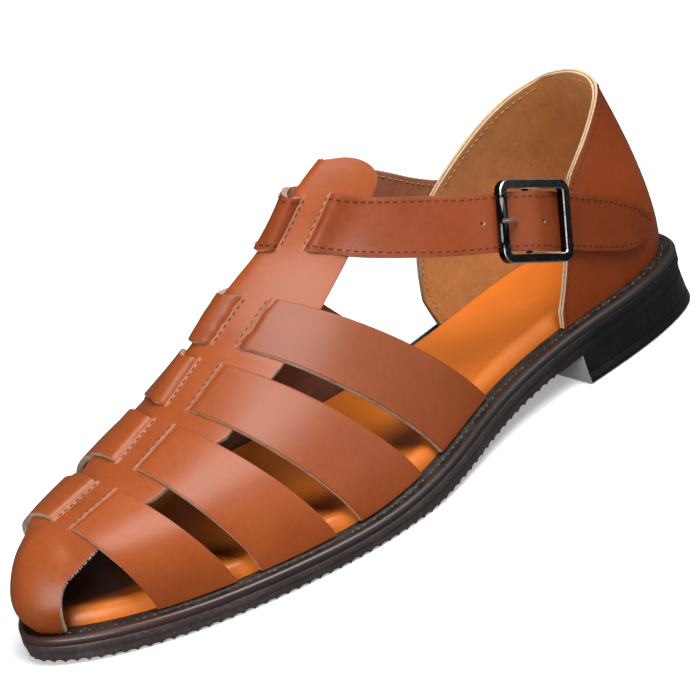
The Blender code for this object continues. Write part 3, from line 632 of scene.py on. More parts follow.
# Toe cap and spine
# One piece of cognac leather: the lasted toe cap, the spine over the instep and the round tab at its top.
# Its edges are cut raw and left pale; the cap is pulled over the last and tucked in at the welt.
GAP = 0.3
FEATHER_INSET = 7.2  # middle of the wall at the welt
UPPER_SECTIONS = (  # crest_x, crest_y, crest_z, lateral_foot_x, medial_foot_x; one for each strap edge
    (134.0, -6.0, 111.0, 67.0, 72.0),
    (148.5, -8.2, 102.4, 80.2, 84.0),
    (166.0, -10.4, 89.8, 98.0, 99.0),
    (184.0, -11.9, 80.6, 117.8, 119.0),
    (200.5, -11.8, 70.5, 148.6, 148.0),
    (205.7, -11.2, 67.4, 161.4, 163.0),
    (222.7, -9.9, 58.3, 191.7, 193.0),
    (228.7, -9.1, 55.6, 202.6, 205.0),
    (247.3, -7.9, 48.8, 231.6, 234.0),
    (257.5, -6.6, 46.0, 240.6, 244.0),
    (278.0, -6.1, 41.9, 266.8, 269.5),
)
CAP_START = len(UPPER_SECTIONS) - 1.0  # section of the first strap's front edge
TOE_CREST = (285.0, -6.0, 40.2)
LATERAL_ROUND, MEDIAL_ROUND, TOE_ROUND = 1.55, 1.75, 2.1  # exponents of the sections
INSTEP_ROUND, ROUND_END = 2.3, 3.5  # the instep is rounder, back from this section
FULLNESS, FULL_ROUND = 7.0, 1.3  # the sections swell between the crest and the welt
FULL_START, FULL_LENGTH = 1.2, 1.8
FULL_DIRECTION = np.array((0.5, 0.76, 0.4))
SWEEP = 0.6  # share of a section's backward sweep that comes early, at the crest
TOE_BULGE = 7.0  # the toe box stands out over the welt
BULGE_HEIGHT, TUCK = 0.45, 0.7  # and draws in again below, by a share of it
TOE_CLEAR, TOE_SLOPE = 0.1, 0.27
SPINE_ROWS = (  # section, middle's offset from the crest line, half width
    (0.0, 5.3, 21.0),
    (1.0, 9.7, 18.5),
    (2.0, 11.8, 20.3),
    (3.0, 13.0, 22.2),
    (6.5, 8.8, 23.5),
    (9.0, 7.0, 17.8),
    (10.0, 6.3, 17.8),
    (10.4, 6.3, 16.8),
    (11.0, 6.3, 16.8),
)
TAB_ROUND, TAB_TIP = 0.8, 0.02  # the tab's round end, in sections from its tip
CAP_END, CAP_CURVE = 0.755, 14.0  # the cap's edge runs forward, then turns down to the welt
TURN_START = 0.005  # share of its height at which the turn begins
SPINE_THICK = 1.8
TAB_ROWS, BODY_ROWS, SPINE_END_ROWS, TURN_ROWS, FRONT_ROWS = 16, 120, 24, 28, 16
SPINE_COLUMNS, SECTION_STEPS = 49, 91
EASE_REACH, EASE_WIDTH = 4.5, 14.0  # the crest is eased over this length, and that far to each side of it
EASE_TAPS = ((-1.0, 1 / 9), (-0.5, 2 / 9), (0.0, 3 / 9), (0.5, 2 / 9), (1.0, 1 / 9))  # share of reach, weight
CAP_FIRST_ROW = TAB_ROWS + BODY_ROWS
FRINGE_ROWS = SPINE_END_ROWS - 1 + TURN_ROWS
FRINGE_FIBRE = (0.9, 0.1, 1.2)  # length, gap, width
LEATHER_DARK, LEATHER_LIGHT = (0.255, 0.052, 0.0105), (0.31, 0.068, 0.0145)
LEATHER_ROUGH = (0.36, 0.44)
# partly painted shade: the flesh side's raw colour is darkened to stand in for the shade inside the shoe
FLESH_DARK, FLESH_LIGHT = (0.11, 0.038, 0.017), (0.21, 0.08, 0.038)
CUT_DARK, CUT_LIGHT = (0.2, 0.115, 0.075), (0.56, 0.41, 0.31)
CUT_ROUND = 0.3  # radius of the cut edges

FEATHER = dict(zip(("lateral", "medial"), sides(FEATHER_INSET)))
SECTION_NUMBERS = np.arange(len(UPPER_SECTIONS))
CREST = spline(SECTION_NUMBERS, [row[:3] for row in UPPER_SECTIONS])
FEET = {
    "lateral": spline(SECTION_NUMBERS, [row[3] for row in UPPER_SECTIONS]),
    "medial": spline(SECTION_NUMBERS, [row[4] for row in UPPER_SECTIONS]),
}
ROUND = {"lateral": LATERAL_ROUND, "medial": MEDIAL_ROUND}
SIGN = {"lateral": 1, "medial": -1}
TURN = np.linspace(0, math.pi / 2, SECTION_STEPS)


def feather_run(side, x):
    """Length along the feather line at which it reaches x."""
    line = FEATHER[side]
    return float(np.interp(x, line[:, 0], lengths(line)))


def half_section(t, side):
    """Points from the crest down to the welt on one side, in section t of the upper."""
    line = FEATHER[side]
    cap = float(np.clip(t - CAP_START, 0.0, 1.0))
    crest = CREST(min(t, CAP_START))[0]
    crest = crest + (np.array(TOE_CREST) - crest) * smooth(cap)
    run = feather_run(side, FEET[side](min(t, CAP_START))[0, 0])
    run += cap * (lengths(line)[-1] - run)
    foot, ahead, behind = along(line, [run, run + 1, run - 1])
    if cap == 1:
        outward = np.array((1.0, 0.0))
    else:
        tangent = ahead - behind
        outward = unit(np.array((-tangent[1], tangent[0]))) * SIGN[side]
    bulge = TOE_BULGE * smooth(cap * 2)
    wide = foot + outward * bulge
    floor = top_height(foot[0]) + GAP + TOE_CLEAR * smooth(cap * 2)
    roundness = ROUND[side] + (TOE_ROUND - ROUND[side]) * smooth(cap * 1.5)
    roundness += (INSTEP_ROUND - ROUND[side]) * smooth((ROUND_END - t) / ROUND_END)
    power = 2 / roundness
    out, high = np.sin(TURN) ** power, np.cos(TURN) ** power
    out[-1], high[-1] = 1.0, 0.0
    early = SWEEP + (1 - SWEEP) * smooth(cap)
    sweep = (1 - high) * (1 - early) + out * early
    corner = floor + TOE_SLOPE * max(0.0, wide[0] - crest[0])
    tuck = TUCK * bulge * np.clip(1 - high / BULGE_HEIGHT, 0, None) ** 2
    x = crest[0] + (wide[0] - crest[0]) * sweep - outward[0] * tuck
    y = crest[1] + (wide[1] - crest[1]) * out - outward[1] * tuck
    z = corner + (crest[2] - corner) * high + (floor - corner) * out
    points = np.column_stack([x, y, z])
    share = lengths(points) / lengths(points)[-1]
    amount = FULLNESS * smooth((t - FULL_START) / FULL_LENGTH) * (1 - smooth(2 * cap))
    swell = amount * np.clip(np.sin(math.pi * share), 0, None) ** FULL_ROUND
    return points + swell[:, None] * FULL_DIRECTION * (1, SIGN[side], 1)


def section_points(t, where):
    """Points of section t at lengths from the crest, positive on the lateral side."""
    where = np.asarray(where, float)
    lateral = along(half_section(t, "lateral"), np.maximum(where, 0))
    medial = along(half_section(t, "medial"), np.maximum(-where, 0))
    return np.where((where >= 0)[:, None], lateral, medial)


def side_length(t, side):
    return lengths(half_section(t, side))[-1]


def spine_row(t, column):
    rows = np.array(SPINE_ROWS)
    return float(np.interp(t, rows[:, 0], rows[:, column]))


def spine_middle(t):
    return spine_row(t, 1) * (1 - float(smooth(t - CAP_START)))


def spine_half(t):
    half = spine_row(t, 2)
    if t < TAB_ROUND:
        half *= math.sqrt(max(0.0, 1 - (1 - t / TAB_ROUND) ** 2))
    return half


def cap_edge(t, side):
    """Length from the crest to the edge of the spine, or of the toe cap in front of it."""
    edge = SIGN[side] * spine_middle(min(t, CAP_START)) + spine_half(t)
    share = np.clip((t - CAP_START) / CAP_END, 0.0, 1.0)
    return edge + (side_length(t, side) - edge) * share**CAP_CURVE


def cap_rows(along_spine, in_turn, in_front):
    """Sections of the cap, closer together where its edge turns down."""
    turn = CAP_END * np.linspace(TURN_START, 1, in_turn) ** (1 / CAP_CURVE)
    before = np.linspace(0, turn[0], along_spine, endpoint=False)[1:]
    return CAP_START + np.concatenate([before, turn, np.linspace(CAP_END, 1, in_front)[1:]])


def grid_outward(grid):
    """Unit directions square to a grid, outward where its rows run forward and its columns lateral."""
    return unit(np.cross(np.gradient(grid, axis=0), np.gradient(grid, axis=1)))


def leather_sheet(name, grid, thickness, materials, rounded, folded=False):
    """Leather of one thickness on a grid: grain side outward, flesh side inward, rounded cut edges between.

    When folded, the two halves of the last row lie on each other and are closed without an edge.
    """
    rows, columns = grid.shape[:2]
    count = rows * columns
    outward = grid_outward(grid)
    if folded:
        outward[-1] = unit(outward[-2] + outward[-2, ::-1])
    lift = outward * thickness / 2
    points = np.concatenate([(grid + lift).reshape(-1, 3), (grid - lift).reshape(-1, 3)])
    faces, skins = [], []
    for i in range(rows - 1):
        for j in range(columns - 1):
            corner = i * columns + j
            quad = [corner, corner + 1, corner + columns + 1, corner + columns]
            faces += [quad, [count + place for place in reversed(quad)]]
            skins += [0, 1]
    border = list(range(columns))
    border += [i * columns + columns - 1 for i in range(1, rows)]
    border += [(rows - 1) * columns + j for j in range(columns - 2, -1, -1)]
    border += [i * columns for i in range(rows - 2, 0, -1)]
    for here, there in zip(border, border[1:] + border[:1]):
        if folded and min(here, there) >= (rows - 1) * columns:
            continue
        faces.append([here, there, count + there, count + here])
        skins.append(2)
    return make_piece(name, points, faces, materials, skins, sharp=60, rounded=rounded)


def raw_fibres_group():
    """Short matted fibres of a cut edge or of the flesh side."""
    group, given, result = new_group("raw_fibres", [("Fibre Scale", 900.0)], ["Tone", "Nap"])
    fibres = noise(group, given.outputs["Fibre Scale"], Detail=6.0, Roughness=0.7, Distortion=0.8)
    clumps = noise(group, 140.0, Detail=3.0)
    tone = spread(group, blended(group, 0.4, fibres, clumps, "FLOAT"), 0.35, 0.65)
    group.links.new(tone, result.inputs["Tone"])
    group.links.new(fibres, result.inputs["Nap"])
    return group


RAW_FIBRES = raw_fibres_group()


def fibrous(name, dark, light, scale, depth):
    """Raw leather: a cut edge, or suede."""
    material, tree, shader = new_material(name, Sheen_Weight=0.15, Sheen_Roughness=0.5)
    effect = place_group(tree, RAW_FIBRES, {"Fibre Scale": scale})
    two_tone(tree, shader, effect.outputs["Tone"], dark, light, (0.8, 0.95))
    bumped(tree, shader, effect.outputs["Nap"], 0.7, depth)
    return material


def spine_and_cap_grid():
    tab = TAB_TIP + (TAB_ROUND - TAB_TIP) * (1 - np.cos(np.linspace(0, math.pi / 2, TAB_ROWS)))
    body = np.linspace(TAB_ROUND, CAP_START, BODY_ROWS + 1)[1:]
    cap = cap_rows(SPINE_END_ROWS, TURN_ROWS, FRONT_ROWS)
    columns = np.linspace(-1, 1, SPINE_COLUMNS)
    grid = []
    for t in np.concatenate([tab, body, cap]):
        middle = spine_middle(t)
        lateral = cap_edge(t, "lateral") - middle
        medial = cap_edge(t, "medial") + middle
        where = middle + np.where(columns > 0, columns * lateral, columns * medial)
        grid.append(draped_points(t, where))
    return np.array(grid)


def draped_points(t, where):
    """Points of section t with the crest line eased, as leather drapes over a last."""
    reach = EASE_REACH * np.exp(-((where / EASE_WIDTH) ** 2))
    return sum(weight * section_points(t, where + share * reach) for share, weight in EASE_TAPS)


def cap_edges(grid):
    """Paths along the cap's two cut-outs, with directions out of the edge."""
    rows = grid[CAP_FIRST_ROW : CAP_FIRST_ROW + FRINGE_ROWS]
    return [(rows[:, outer], unit(rows[:, outer] - rows[:, inner])) for outer, inner in ((-1, -2), (0, 1))]


upper_leather = leather("upper_leather", LEATHER_DARK, LEATHER_LIGHT, LEATHER_ROUGH, coat=0.1)
flesh_side = fibrous("flesh_side", FLESH_DARK, FLESH_LIGHT, 700.0, 0.25)
cut_edge = fibrous("cut_edge", CUT_DARK, CUT_LIGHT, 1100.0, 0.3)
hide = [upper_leather, flesh_side, cut_edge]
spine_grid = spine_and_cap_grid()
spine = leather_sheet("toe_cap_and_spine", spine_grid, SPINE_THICK, hide, CUT_ROUND, folded=True)
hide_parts("upper")
fringe = stitch_rows("cap_fringe", cap_edges(spine_grid), FRINGE_FIBRE, cut_edge, uneven=0.45, sunk=0.4)


# Cross straps
# Four straps of the same leather from welt to welt, each woven down one slot of the spine and up the next.
# Their feet are lasted in under the footbed; their edges are cut raw.
CROSS_STRAPS = ((9.0, 10.0), (7.0, 8.0), (5.0, 6.0), (3.0, 4.0))  # sections of their edges, from the toe
STRAP_THICK = 2.2
SLOT_HALF, SLOT_SETBACK, SLOT_RAMP = 5.0, 0.5, 0.9  # the strap comes up a little way beside the slot's edge
LATERAL_RAMP, MEDIAL_RAMP = 22.0, 3.0  # beyond the spine's edges
WEAVE = 1.5  # drop under the strip between the slots
MEDIAL_LIFT, LOOP_BOW = 1.1, 0.4  # over the medial margin
MEDIAL_FLARE = 0.24  # the straps widen by this part of a section on the medial side
FLARE_START, FLARE_LENGTH = 6.0, 26.0  # beyond the spine's edge
TOE_SIDE_LIFT, HEEL_SIDE_LIFT = 1.0, 0.1  # the strap's edge towards the heel lies nearly flush on the spine
STRAP_ROWS, STRAP_COLUMNS = 18, 170
STRAP_SHADE_TONES = (1.06, 1.04, 0.94, 0.8)  # painted shade: the straps' leather is darker from the toe towards the heel


def weave_lift(beside, half, to_toe=1.0):
    """Height of a woven strap over the wall: under the strip between the slots, then over the margin.

    On the lateral margin it rises with the share of the way across the strap towards its toe-side edge.
    """
    over = smooth((np.abs(beside) - SLOT_HALF - SLOT_SETBACK) / SLOT_RAMP)
    down = smooth((np.abs(beside) - half) / np.where(np.asarray(beside) < 0, MEDIAL_RAMP, LATERAL_RAMP))
    lateral = HEEL_SIDE_LIFT + (TOE_SIDE_LIFT - HEEL_SIDE_LIFT) * to_toe
    top = np.where(np.asarray(beside) < 0, MEDIAL_LIFT, lateral)
    return ((top + WEAVE) * over - WEAVE) * (1 - down)


def loop_bow(beside, half):
    """The loop on the medial margin bows up between its slot and the spine's edge."""
    share = np.clip((-beside - SLOT_HALF) / (half - SLOT_HALF), 0, 1)
    return LOOP_BOW * np.sin(math.pi * share)


def strap_line(t):
    """Places across section t from welt to welt, measured from the spine's middle, and their points."""
    middle = spine_middle(t)
    welts = -side_length(t, "medial"), side_length(t, "lateral")
    beside = np.linspace(*welts, STRAP_COLUMNS) - middle
    return beside, section_points(t, middle + beside)


def lifted(grid, lift):
    """Grid of points moved outward, each by its own height."""
    grid = np.array(grid)
    return grid + grid_outward(grid) * np.array(lift)[:, :, None]


def cross_strap_grid(first, last):
    grid, lift = [], []
    flared_first, flared_last = first - MEDIAL_FLARE, min(last + MEDIAL_FLARE, CAP_START)
    for t in np.linspace(first, last, STRAP_ROWS):
        half = spine_half(t)
        to_toe = (t - first) / (last - first)
        beside, points = strap_line(t)
        _, flared = strap_line(flared_first + (flared_last - flared_first) * to_toe)
        share = smooth((-beside - half - FLARE_START) / FLARE_LENGTH)[:, None]
        grid.append(points * (1 - share) + flared * share)
        lift.append(weave_lift(beside, half, to_toe) + loop_bow(beside, half))
    return lifted(grid, lift)


# each strap's leather is scaled by its painted shade tone, darker towards the heel
for number, ((first, last), tone) in enumerate(zip(CROSS_STRAPS, STRAP_SHADE_TONES), 1):
    dark, light = scaled(LEATHER_DARK, tone), scaled(LEATHER_LIGHT, tone)
    grain_side = leather(f"strap_leather_{number}", dark, light, LEATHER_ROUGH, coat=0.1)
    hide = [grain_side, flesh_side, cut_edge]
    grid = cross_strap_grid(first, last)
    strap = leather_sheet(f"cross_strap_{number}", grid, STRAP_THICK, hide, CUT_ROUND)
    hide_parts("upper")


# Slot edges
# The strip of spine between two slots passes over the strap, and its cut edges stand up as thin raw lips.
# A row of dark stitches runs along each of them.
LIP_WIDTH, LIP_THICK, LIP_LOW, LIP_RISE, LIP_ROUND = 1.6, 1.2, 0.2, 0.9, 0.25
LIP_OVERRUN, LIP_FADE = 0.07, 0.1  # in sections
LIP_ROWS, LIP_COLUMNS, LIP_END_ROWS = 40, 9, 4
LIP_SEAM = 0.7  # from the lip's edge
LIP_STITCH = (1.7, 0.9, 0.45)  # length, gap, width
LIP_DARK, LIP_LIGHT = (0.25, 0.075, 0.03), (0.42, 0.17, 0.09)
DARK_THREAD = (0.1, 0.02, 0.009)
SLOTTED = CROSS_STRAPS + ((1.0, 2.0),)


def lip_grid(first, last, direction):
    """Raised edge of the spine along the lateral slot, direction 1, or the medial one, direction -1."""
    grid, lift = [], []
    across = np.linspace(0, 1, LIP_COLUMNS)[::direction]
    rows = np.linspace(first - LIP_OVERRUN, last + LIP_OVERRUN, LIP_ROWS)
    for t in rows:
        beside = direction * (SLOT_HALF - LIP_WIDTH * (1 - across))
        grid.append(section_points(t, spine_middle(t) + beside))
        rise = smooth((t - rows[0]) / LIP_FADE) * smooth((rows[-1] - t) / LIP_FADE)
        lift.append(LIP_LOW + LIP_RISE * rise * across**1.5)
    return lifted(grid, lift)


def lip_seam(grid, direction):
    """Stitch path on a lip beside its raised edge, with outward directions."""
    inset = LIP_SEAM / LIP_WIDTH * (LIP_COLUMNS - 1)
    column = LIP_COLUMNS - 1 - inset if direction > 0 else inset
    low = int(column)
    share = column - low
    rows = slice(LIP_END_ROWS, LIP_ROWS - LIP_END_ROWS)
    up = grid_outward(grid)[rows, low]
    return grid[rows, low] * (1 - share) + grid[rows, low + 1] * share + up * LIP_THICK / 2, up


dark_thread = thread("dark_thread", DARK_THREAD)
lip_leather = fibrous("lip_leather", LIP_DARK, LIP_LIGHT, 900.0, 0.2)
lip_hide = [lip_leather, flesh_side, lip_leather]
lip_seams = []
for number, (first, last) in enumerate(SLOTTED, 1):
    for side, direction in SIGN.items():
        grid = lip_grid(first, last, direction)
        lip = leather_sheet(f"slot_lip_{number}_{side}", grid, LIP_THICK, lip_hide, LIP_ROUND)
        lip_seams.append(lip_seam(grid, direction))
lip_stitches = stitch_rows("lip_stitches", lip_seams, LIP_STITCH, dark_thread)


# Quarter
# The heel wall: cognac leather outside and a suede lining inside, sewn together along the rim.
# It stands on the welt, leans forward at the heel's back and shows two pale cut edges along its rim.
QUARTER_THICK = 2.4
QUARTER_RIM = (  # run along the wall from the heel's back, lateral side positive; height
    (-96.0, 32.0),
    (-91.0, 52.0),
    (-86.0, 63.0),
    (-76.5, 72.0),
    (-60.0, 81.2),
    (-41.0, 88.4),
    (-21.5, 92.4),
    (-8.0, 96.0),
    (0.0, 98.2),
    (8.0, 99.3),
    (13.0, 98.5),
    (17.0, 96.3),
    (22.0, 93.1),
    (31.0, 88.5),
    (46.0, 80.2),
    (57.0, 73.6),
    (61.0, 69.5),
    (65.5, 59.0),
    (71.0, 43.5),
    (77.0, 28.0),
)
FRONT_X = {"lateral": 73.5, "medial": 91.5}  # feet of the front edges, from the heel
FRONT_BULGE = {"lateral": 0.0, "medial": 5.0}  # the front edges' forward curve
HEEL_LEAN = 16.3  # the heel's back leans forward up to the rim
QUARTER_BULGE, HEEL_BULGE = 4.0, 3.8  # the wall swells over the welt at the sides and at the back
QUARTER_TAPER, QUARTER_TOP = 4.0, 98.2  # and draws in towards the rim
WALL_STEPS, WALL_ROWS = 80, 36
WALL_EASE = 12  # rounds of easing along the wall
LAYER_THICK, LAYER_SHIFT = 1.05, 0.62
RIM_SEAM = 2.6  # below the rim
SEAM_STITCH, LINING_STITCH = (1.9, 1.0, 0.45), (1.9, 1.0, 0.5)  # length, gap, width
QUARTER_DARK, QUARTER_LIGHT = (0.25, 0.042, 0.0073), (0.31, 0.056, 0.01)
RIM_SHADE_BROWN = (0.13, 0.023, 0.004)  # painted shade: the leather is darkened towards the rim
RIM_SHADE_START, RIM_SHADE_END = 0.062, 0.1  # height in metres
SUEDE_DARK, SUEDE_LIGHT = (0.36, 0.135, 0.028), (0.5, 0.205, 0.048)
RIM_DARK, RIM_LIGHT = (0.45, 0.28, 0.15), (0.75, 0.55, 0.36)
PALE_THREAD = (0.5, 0.31, 0.14)


def wall_points(side, count):
    """Base points of the quarter's wall on one side, from the heel's back, with outward directions."""
    half = sides(FEATHER_INSET, FRONT_X[side])[0 if side == "lateral" else 1]
    base = resample(half, count)
    run = np.gradient(base, axis=0)
    outward = unit(np.stack([-run[:, 1], run[:, 0]], axis=1)) * SIGN[side]
    outward[0] = (-1.0, 0.0)
    return base, outward


def wall_at(side, base, outward, height):
    """The wall leans forward at the heel's back and swells a little over the welt."""
    share = np.clip((height - HEEL_TOP) / (QUARTER_TOP - HEEL_TOP), 0, 1)
    back = np.clip(-outward[..., 0], 0, 1) ** 1.5
    swell = QUARTER_BULGE * np.sin(math.pi * share**0.9) * (1 - back)
    swell = swell + HEEL_BULGE * np.sin(math.pi * share**0.6) * back
    swell = swell - QUARTER_TAPER * share**2 * (1 - back)
    lean = HEEL_LEAN * share**1.2 * back
    front = (base[..., 0] / FRONT_X[side]) ** 4
    lean = lean + FRONT_BULGE[side] * front * np.sin(math.pi * np.clip(1.3 * share, 0, 1))
    x = base[..., 0] + outward[..., 0] * swell + lean
    y = base[..., 1] + outward[..., 1] * swell
    return np.stack([x, y, height], axis=-1)


def quarter_grid():
    """Wall points from the lateral front edge round the heel to the medial front edge, each column upward."""
    columns = []
    rows = np.linspace(0, 1, WALL_ROWS)
    rim = spline(*zip(*QUARTER_RIM))
    for side, sign in SIGN.items():
        base, outward = wall_points(side, WALL_STEPS)
        tops = rim(sign * lengths(base))[:, 0]
        half = []
        for point, direction, top in zip(base, outward, tops):
            floor = top_height(point[0])
            height = floor + (top - floor) * rows
            half.append(wall_at(side, np.tile(point, (len(rows), 1)), direction[None, :], height))
        columns.append(half[::-1] if side == "lateral" else half[1:])
    grid = np.array(columns[0] + columns[1])
    for _ in range(WALL_EASE):
        grid[1:-1] = 0.5 * grid[1:-1] + 0.25 * (grid[:-2] + grid[2:])
    return grid


def rim_line(grid, depth, height):
    """Path along the quarter's front edges and rim at a depth inside them, with outward directions."""
    outward = grid_outward(grid)
    first = int(round(depth / np.linalg.norm(grid[1, 10] - grid[0, 10])))
    last = len(grid) - 1 - first
    upward, downward = slice(2, WALL_ROWS - 4), slice(WALL_ROWS - 5, 1, -1)
    path, ups = list(grid[first, upward]), list(outward[first, upward])
    for column in range(first, last + 1):
        from_rim = grid[column][::-1]
        path.append(along(from_rim, [depth])[0])
        ups.append(outward[column, -1 - int(np.searchsorted(lengths(from_rim), depth))])
    path = np.array(path + list(grid[last, downward]))
    ups = np.array(ups + list(outward[last, downward]))
    keep = np.concatenate([[True], np.linalg.norm(np.diff(path, axis=0), axis=1) > 0.2])
    return path[keep] + ups[keep] * height, ups[keep] * np.sign(height)


wall = quarter_grid()
wall_out = grid_outward(wall)
quarter_leather = leather("quarter_leather", QUARTER_DARK, QUARTER_LIGHT, (0.34, 0.42), coat=0.1)
# painted shade: the quarter's leather is darkened towards the rim
near_rim = mask_along(quarter_leather.node_tree, UPWARD, RIM_SHADE_START, RIM_SHADE_END)
tint(quarter_leather, near_rim, RIM_SHADE_BROWN)
suede = fibrous("lining_suede", SUEDE_DARK, SUEDE_LIGHT, 520.0, 0.3)
rim_edge = fibrous("rim_edge", RIM_DARK, RIM_LIGHT, 1000.0, 0.2)
pale_thread = thread("pale_thread", PALE_THREAD)
layers = (  # name, direction from the wall's middle, skins
    ("quarter_outer", 1, [quarter_leather, flesh_side, rim_edge]),
    ("quarter_lining", -1, [flesh_side, suede, rim_edge]),
)
seams = (  # name, direction from the wall's middle, size of the stitches, thread
    ("quarter_stitches", 1, SEAM_STITCH, dark_thread),
    ("lining_stitches", -1, LINING_STITCH, pale_thread),
)
for name, direction, skins in layers:
    layer = leather_sheet(name, wall + direction * wall_out * LAYER_SHIFT, LAYER_THICK, skins, CUT_ROUND)
    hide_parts("quarter")
for name, direction, stitch, seam_thread in seams:
    seam = rim_line(wall, RIM_SEAM, direction * (LAYER_SHIFT + LAYER_THICK / 2))
    stitches = stitch_rows(name, [seam], stitch, seam_thread)


# Instep strap
# A long leather strap, sewn along both edges: fixed on the medial quarter, woven through the spine's top
# slots and drawn through the buckle, with its round tip lying on the lateral quarter.
INSTEP_SECTIONS = (1.0, 1.5, 2.0)  # of the strap's back edge, middle and front edge on the spine
INSTEP_BOW = (3.0, 1.0, 0.0)  # these stand off the medial margin
INSTEP_REACH = 22.5  # the strap stays lifted up to this distance from the spine's middle
BUCKLE_CENTRE = np.array((82.5, 38.6, 71.0))
BUCKLE_ALONG = np.array((-0.905, -0.05, -0.42))  # towards the strap's tip
BUCKLE_UP = np.array((-0.40, -0.25, 0.88))
BUCKLE_OUT = np.cross(BUCKLE_ALONG, BUCKLE_UP)
FRAME_LENGTH, FRAME_HEIGHT, FRAME_BAR = 34.0, 29.5, 3.4
INSTEP_THICK, INSTEP_WIDTH, INSTEP_EDGE = 2.2, 21.0, 0.4  # the last is the radius of its edges
UNDER_BAR, OVER_BAR = -3.6, 1.0  # the strap's middle, from the buckle's plane
MEDIAL_ROWS = (  # upper edge, lower edge, from the medial quarter to the spine
    ((104.0, -25.5, 91.5), (113.0, -27.5, 72.5)),
    ((117.0, -25.0, 97.0), (127.0, -26.5, 79.5)),
)
LATERAL_ROWS = (  # the same from the spine to the buckle
    ((113.5, 23.5, 92.8), (126.5, 26.0, 75.4)),
    ((105.0, 29.0, 90.0), (116.5, 32.5, 72.2)),
)
MEDIAL_WALL = (  # upper_x, upper_z, lower_x, lower_z, where the strap lies on the medial quarter
    (60.0, 66.0, 64.0, 45.5),
    (72.0, 71.5, 78.0, 51.5),
    (84.0, 78.5, 91.5, 59.0),
)
LATERAL_WALL = (  # the same on the lateral quarter, towards the tip
    (58.0, 69.5, 65.0, 50.2),
    (50.5, 65.3, 58.0, 46.5),
    (44.0, 61.5, 50.7, 42.8),
    (37.0, 57.0, 43.2, 39.0),
    (31.0, 52.6, 36.6, 36.6),
    (26.7, 48.7, 31.0, 35.4),
    (23.2, 44.8, 26.4, 35.1),
    (21.5, 41.6, 23.0, 36.9),
)
STRAP_TIP = (21.6, 39.2)
TIP_ROWS, TIP_STEPS = 5, 40
WALL_FINE = 120  # steps along the wall that the strap follows
WALL_LIFT = QUARTER_THICK / 2 + 3 * GAP + INSTEP_THICK / 2
INSTEP_STEPS, INSTEP_ROWS = 260, 17
EDGE_SEAM, SEAM_STEP = 1.8, 0.7  # inside the strap's edges; spacing of the seam's points
HOLES = (-20.5, -9.5, 3.3)  # along the strap, from the buckle's middle
HOLE_RADIUS, HOLE_DEPTH, HOLE_SIDES = 0.85, 7.0, 20
# darker than the upper's leather, partly as painted shade of the light falling off towards the heel
INSTEP_DARK, INSTEP_LIGHT = (0.19, 0.034, 0.0065), (0.24, 0.046, 0.009)
BACKING_DARK, BACKING_LIGHT = (0.27, 0.1, 0.05), (0.36, 0.15, 0.08)


def beside_wall(side, x, height):
    """Point of the strap on the quarter, at a distance from the heel and a height."""
    base, outward = wall_points(side, WALL_FINE)
    line = wall_at(side, base, outward, np.full(len(base), float(height)))[:, :2] + outward * WALL_LIFT
    return (x, float(np.interp(x, line[:, 0], line[:, 1])), height)


def wall_row(side, row):
    return [beside_wall(side, *row[:2]), beside_wall(side, *row[2:])]


def buckle_points(local):
    """Places points given along the strap, up the buckle and out of its plane."""
    return BUCKLE_CENTRE + np.asarray(local) @ np.stack([BUCKLE_ALONG, BUCKLE_UP, BUCKLE_OUT])


def buckle_row(forward, depth):
    """Edges of the strap in the buckle, at a distance along it and a depth from its plane."""
    return list(buckle_points([(forward, INSTEP_WIDTH / 2, depth), (forward, -INSTEP_WIDTH / 2, depth)]))


def spine_rows():
    """Edges and middle of the strap over the medial margin, under the middle strip and over the margin."""
    rows = []
    ramp_end = SLOT_HALF + SLOT_SETBACK + SLOT_RAMP
    lateral = (0.0, SLOT_HALF, ramp_end, 1.5 * ramp_end)
    for beside in (-INSTEP_REACH, -2 * ramp_end, *(-place for place in lateral[:0:-1]), *lateral):
        line = np.array([section_points(t, [spine_middle(t) + beside])[0] for t in INSTEP_SECTIONS])
        nearby = np.array([section_points(t, [spine_middle(t) + beside + 0.5])[0] for t in INSTEP_SECTIONS])
        normal = unit(np.cross(nearby - line, line[2] - line[0]))
        bow = INSTEP_BOW if beside < 0 else (0.0, 0.0, 0.0)
        lift = min(float(weave_lift(beside, INSTEP_REACH)), WEAVE)
        lift = lift + np.array(bow) * smooth(-beside / ramp_end - 1)
        rows.append(list(line - normal * lift[:, None]))
    return rows


def instep_lines():
    """Upper edge, middle and lower edge of the strap from end to end."""
    half = FRAME_LENGTH / 2 - FRAME_BAR / 2
    rows = [wall_row("medial", row) for row in MEDIAL_WALL]
    rows += list(MEDIAL_ROWS) + spine_rows() + list(LATERAL_ROWS)
    rows += [buckle_row(-half, UNDER_BAR), buckle_row(0, OVER_BAR), buckle_row(half, UNDER_BAR)]
    rows += [wall_row("lateral", row) for row in LATERAL_WALL]
    tip = beside_wall("lateral", *STRAP_TIP)
    rows.append([tip, tip])
    rows = np.array([(row[0], np.mean(row, axis=0), row[1]) if len(row) == 2 else row for row in rows])
    knots = lengths(rows[:, 1])
    body_end, end = knots[-TIP_ROWS], knots[-1]
    tip_steps = body_end + (end - body_end) * np.sin(np.linspace(0, math.pi / 2, TIP_STEPS))
    where = np.concatenate([np.linspace(0, body_end, INSTEP_STEPS), tip_steps[1:]])
    return [spline(knots, rows[:, line])(where) for line in range(3)]


def across_strap(lines, share):
    """Points along the strap at a share of its width."""
    upper, middle, lower = lines
    ends = upper * (1 - share) * (1 - 2 * share) + lower * share * (2 * share - 1)
    return ends + middle * 4 * share * (1 - share)


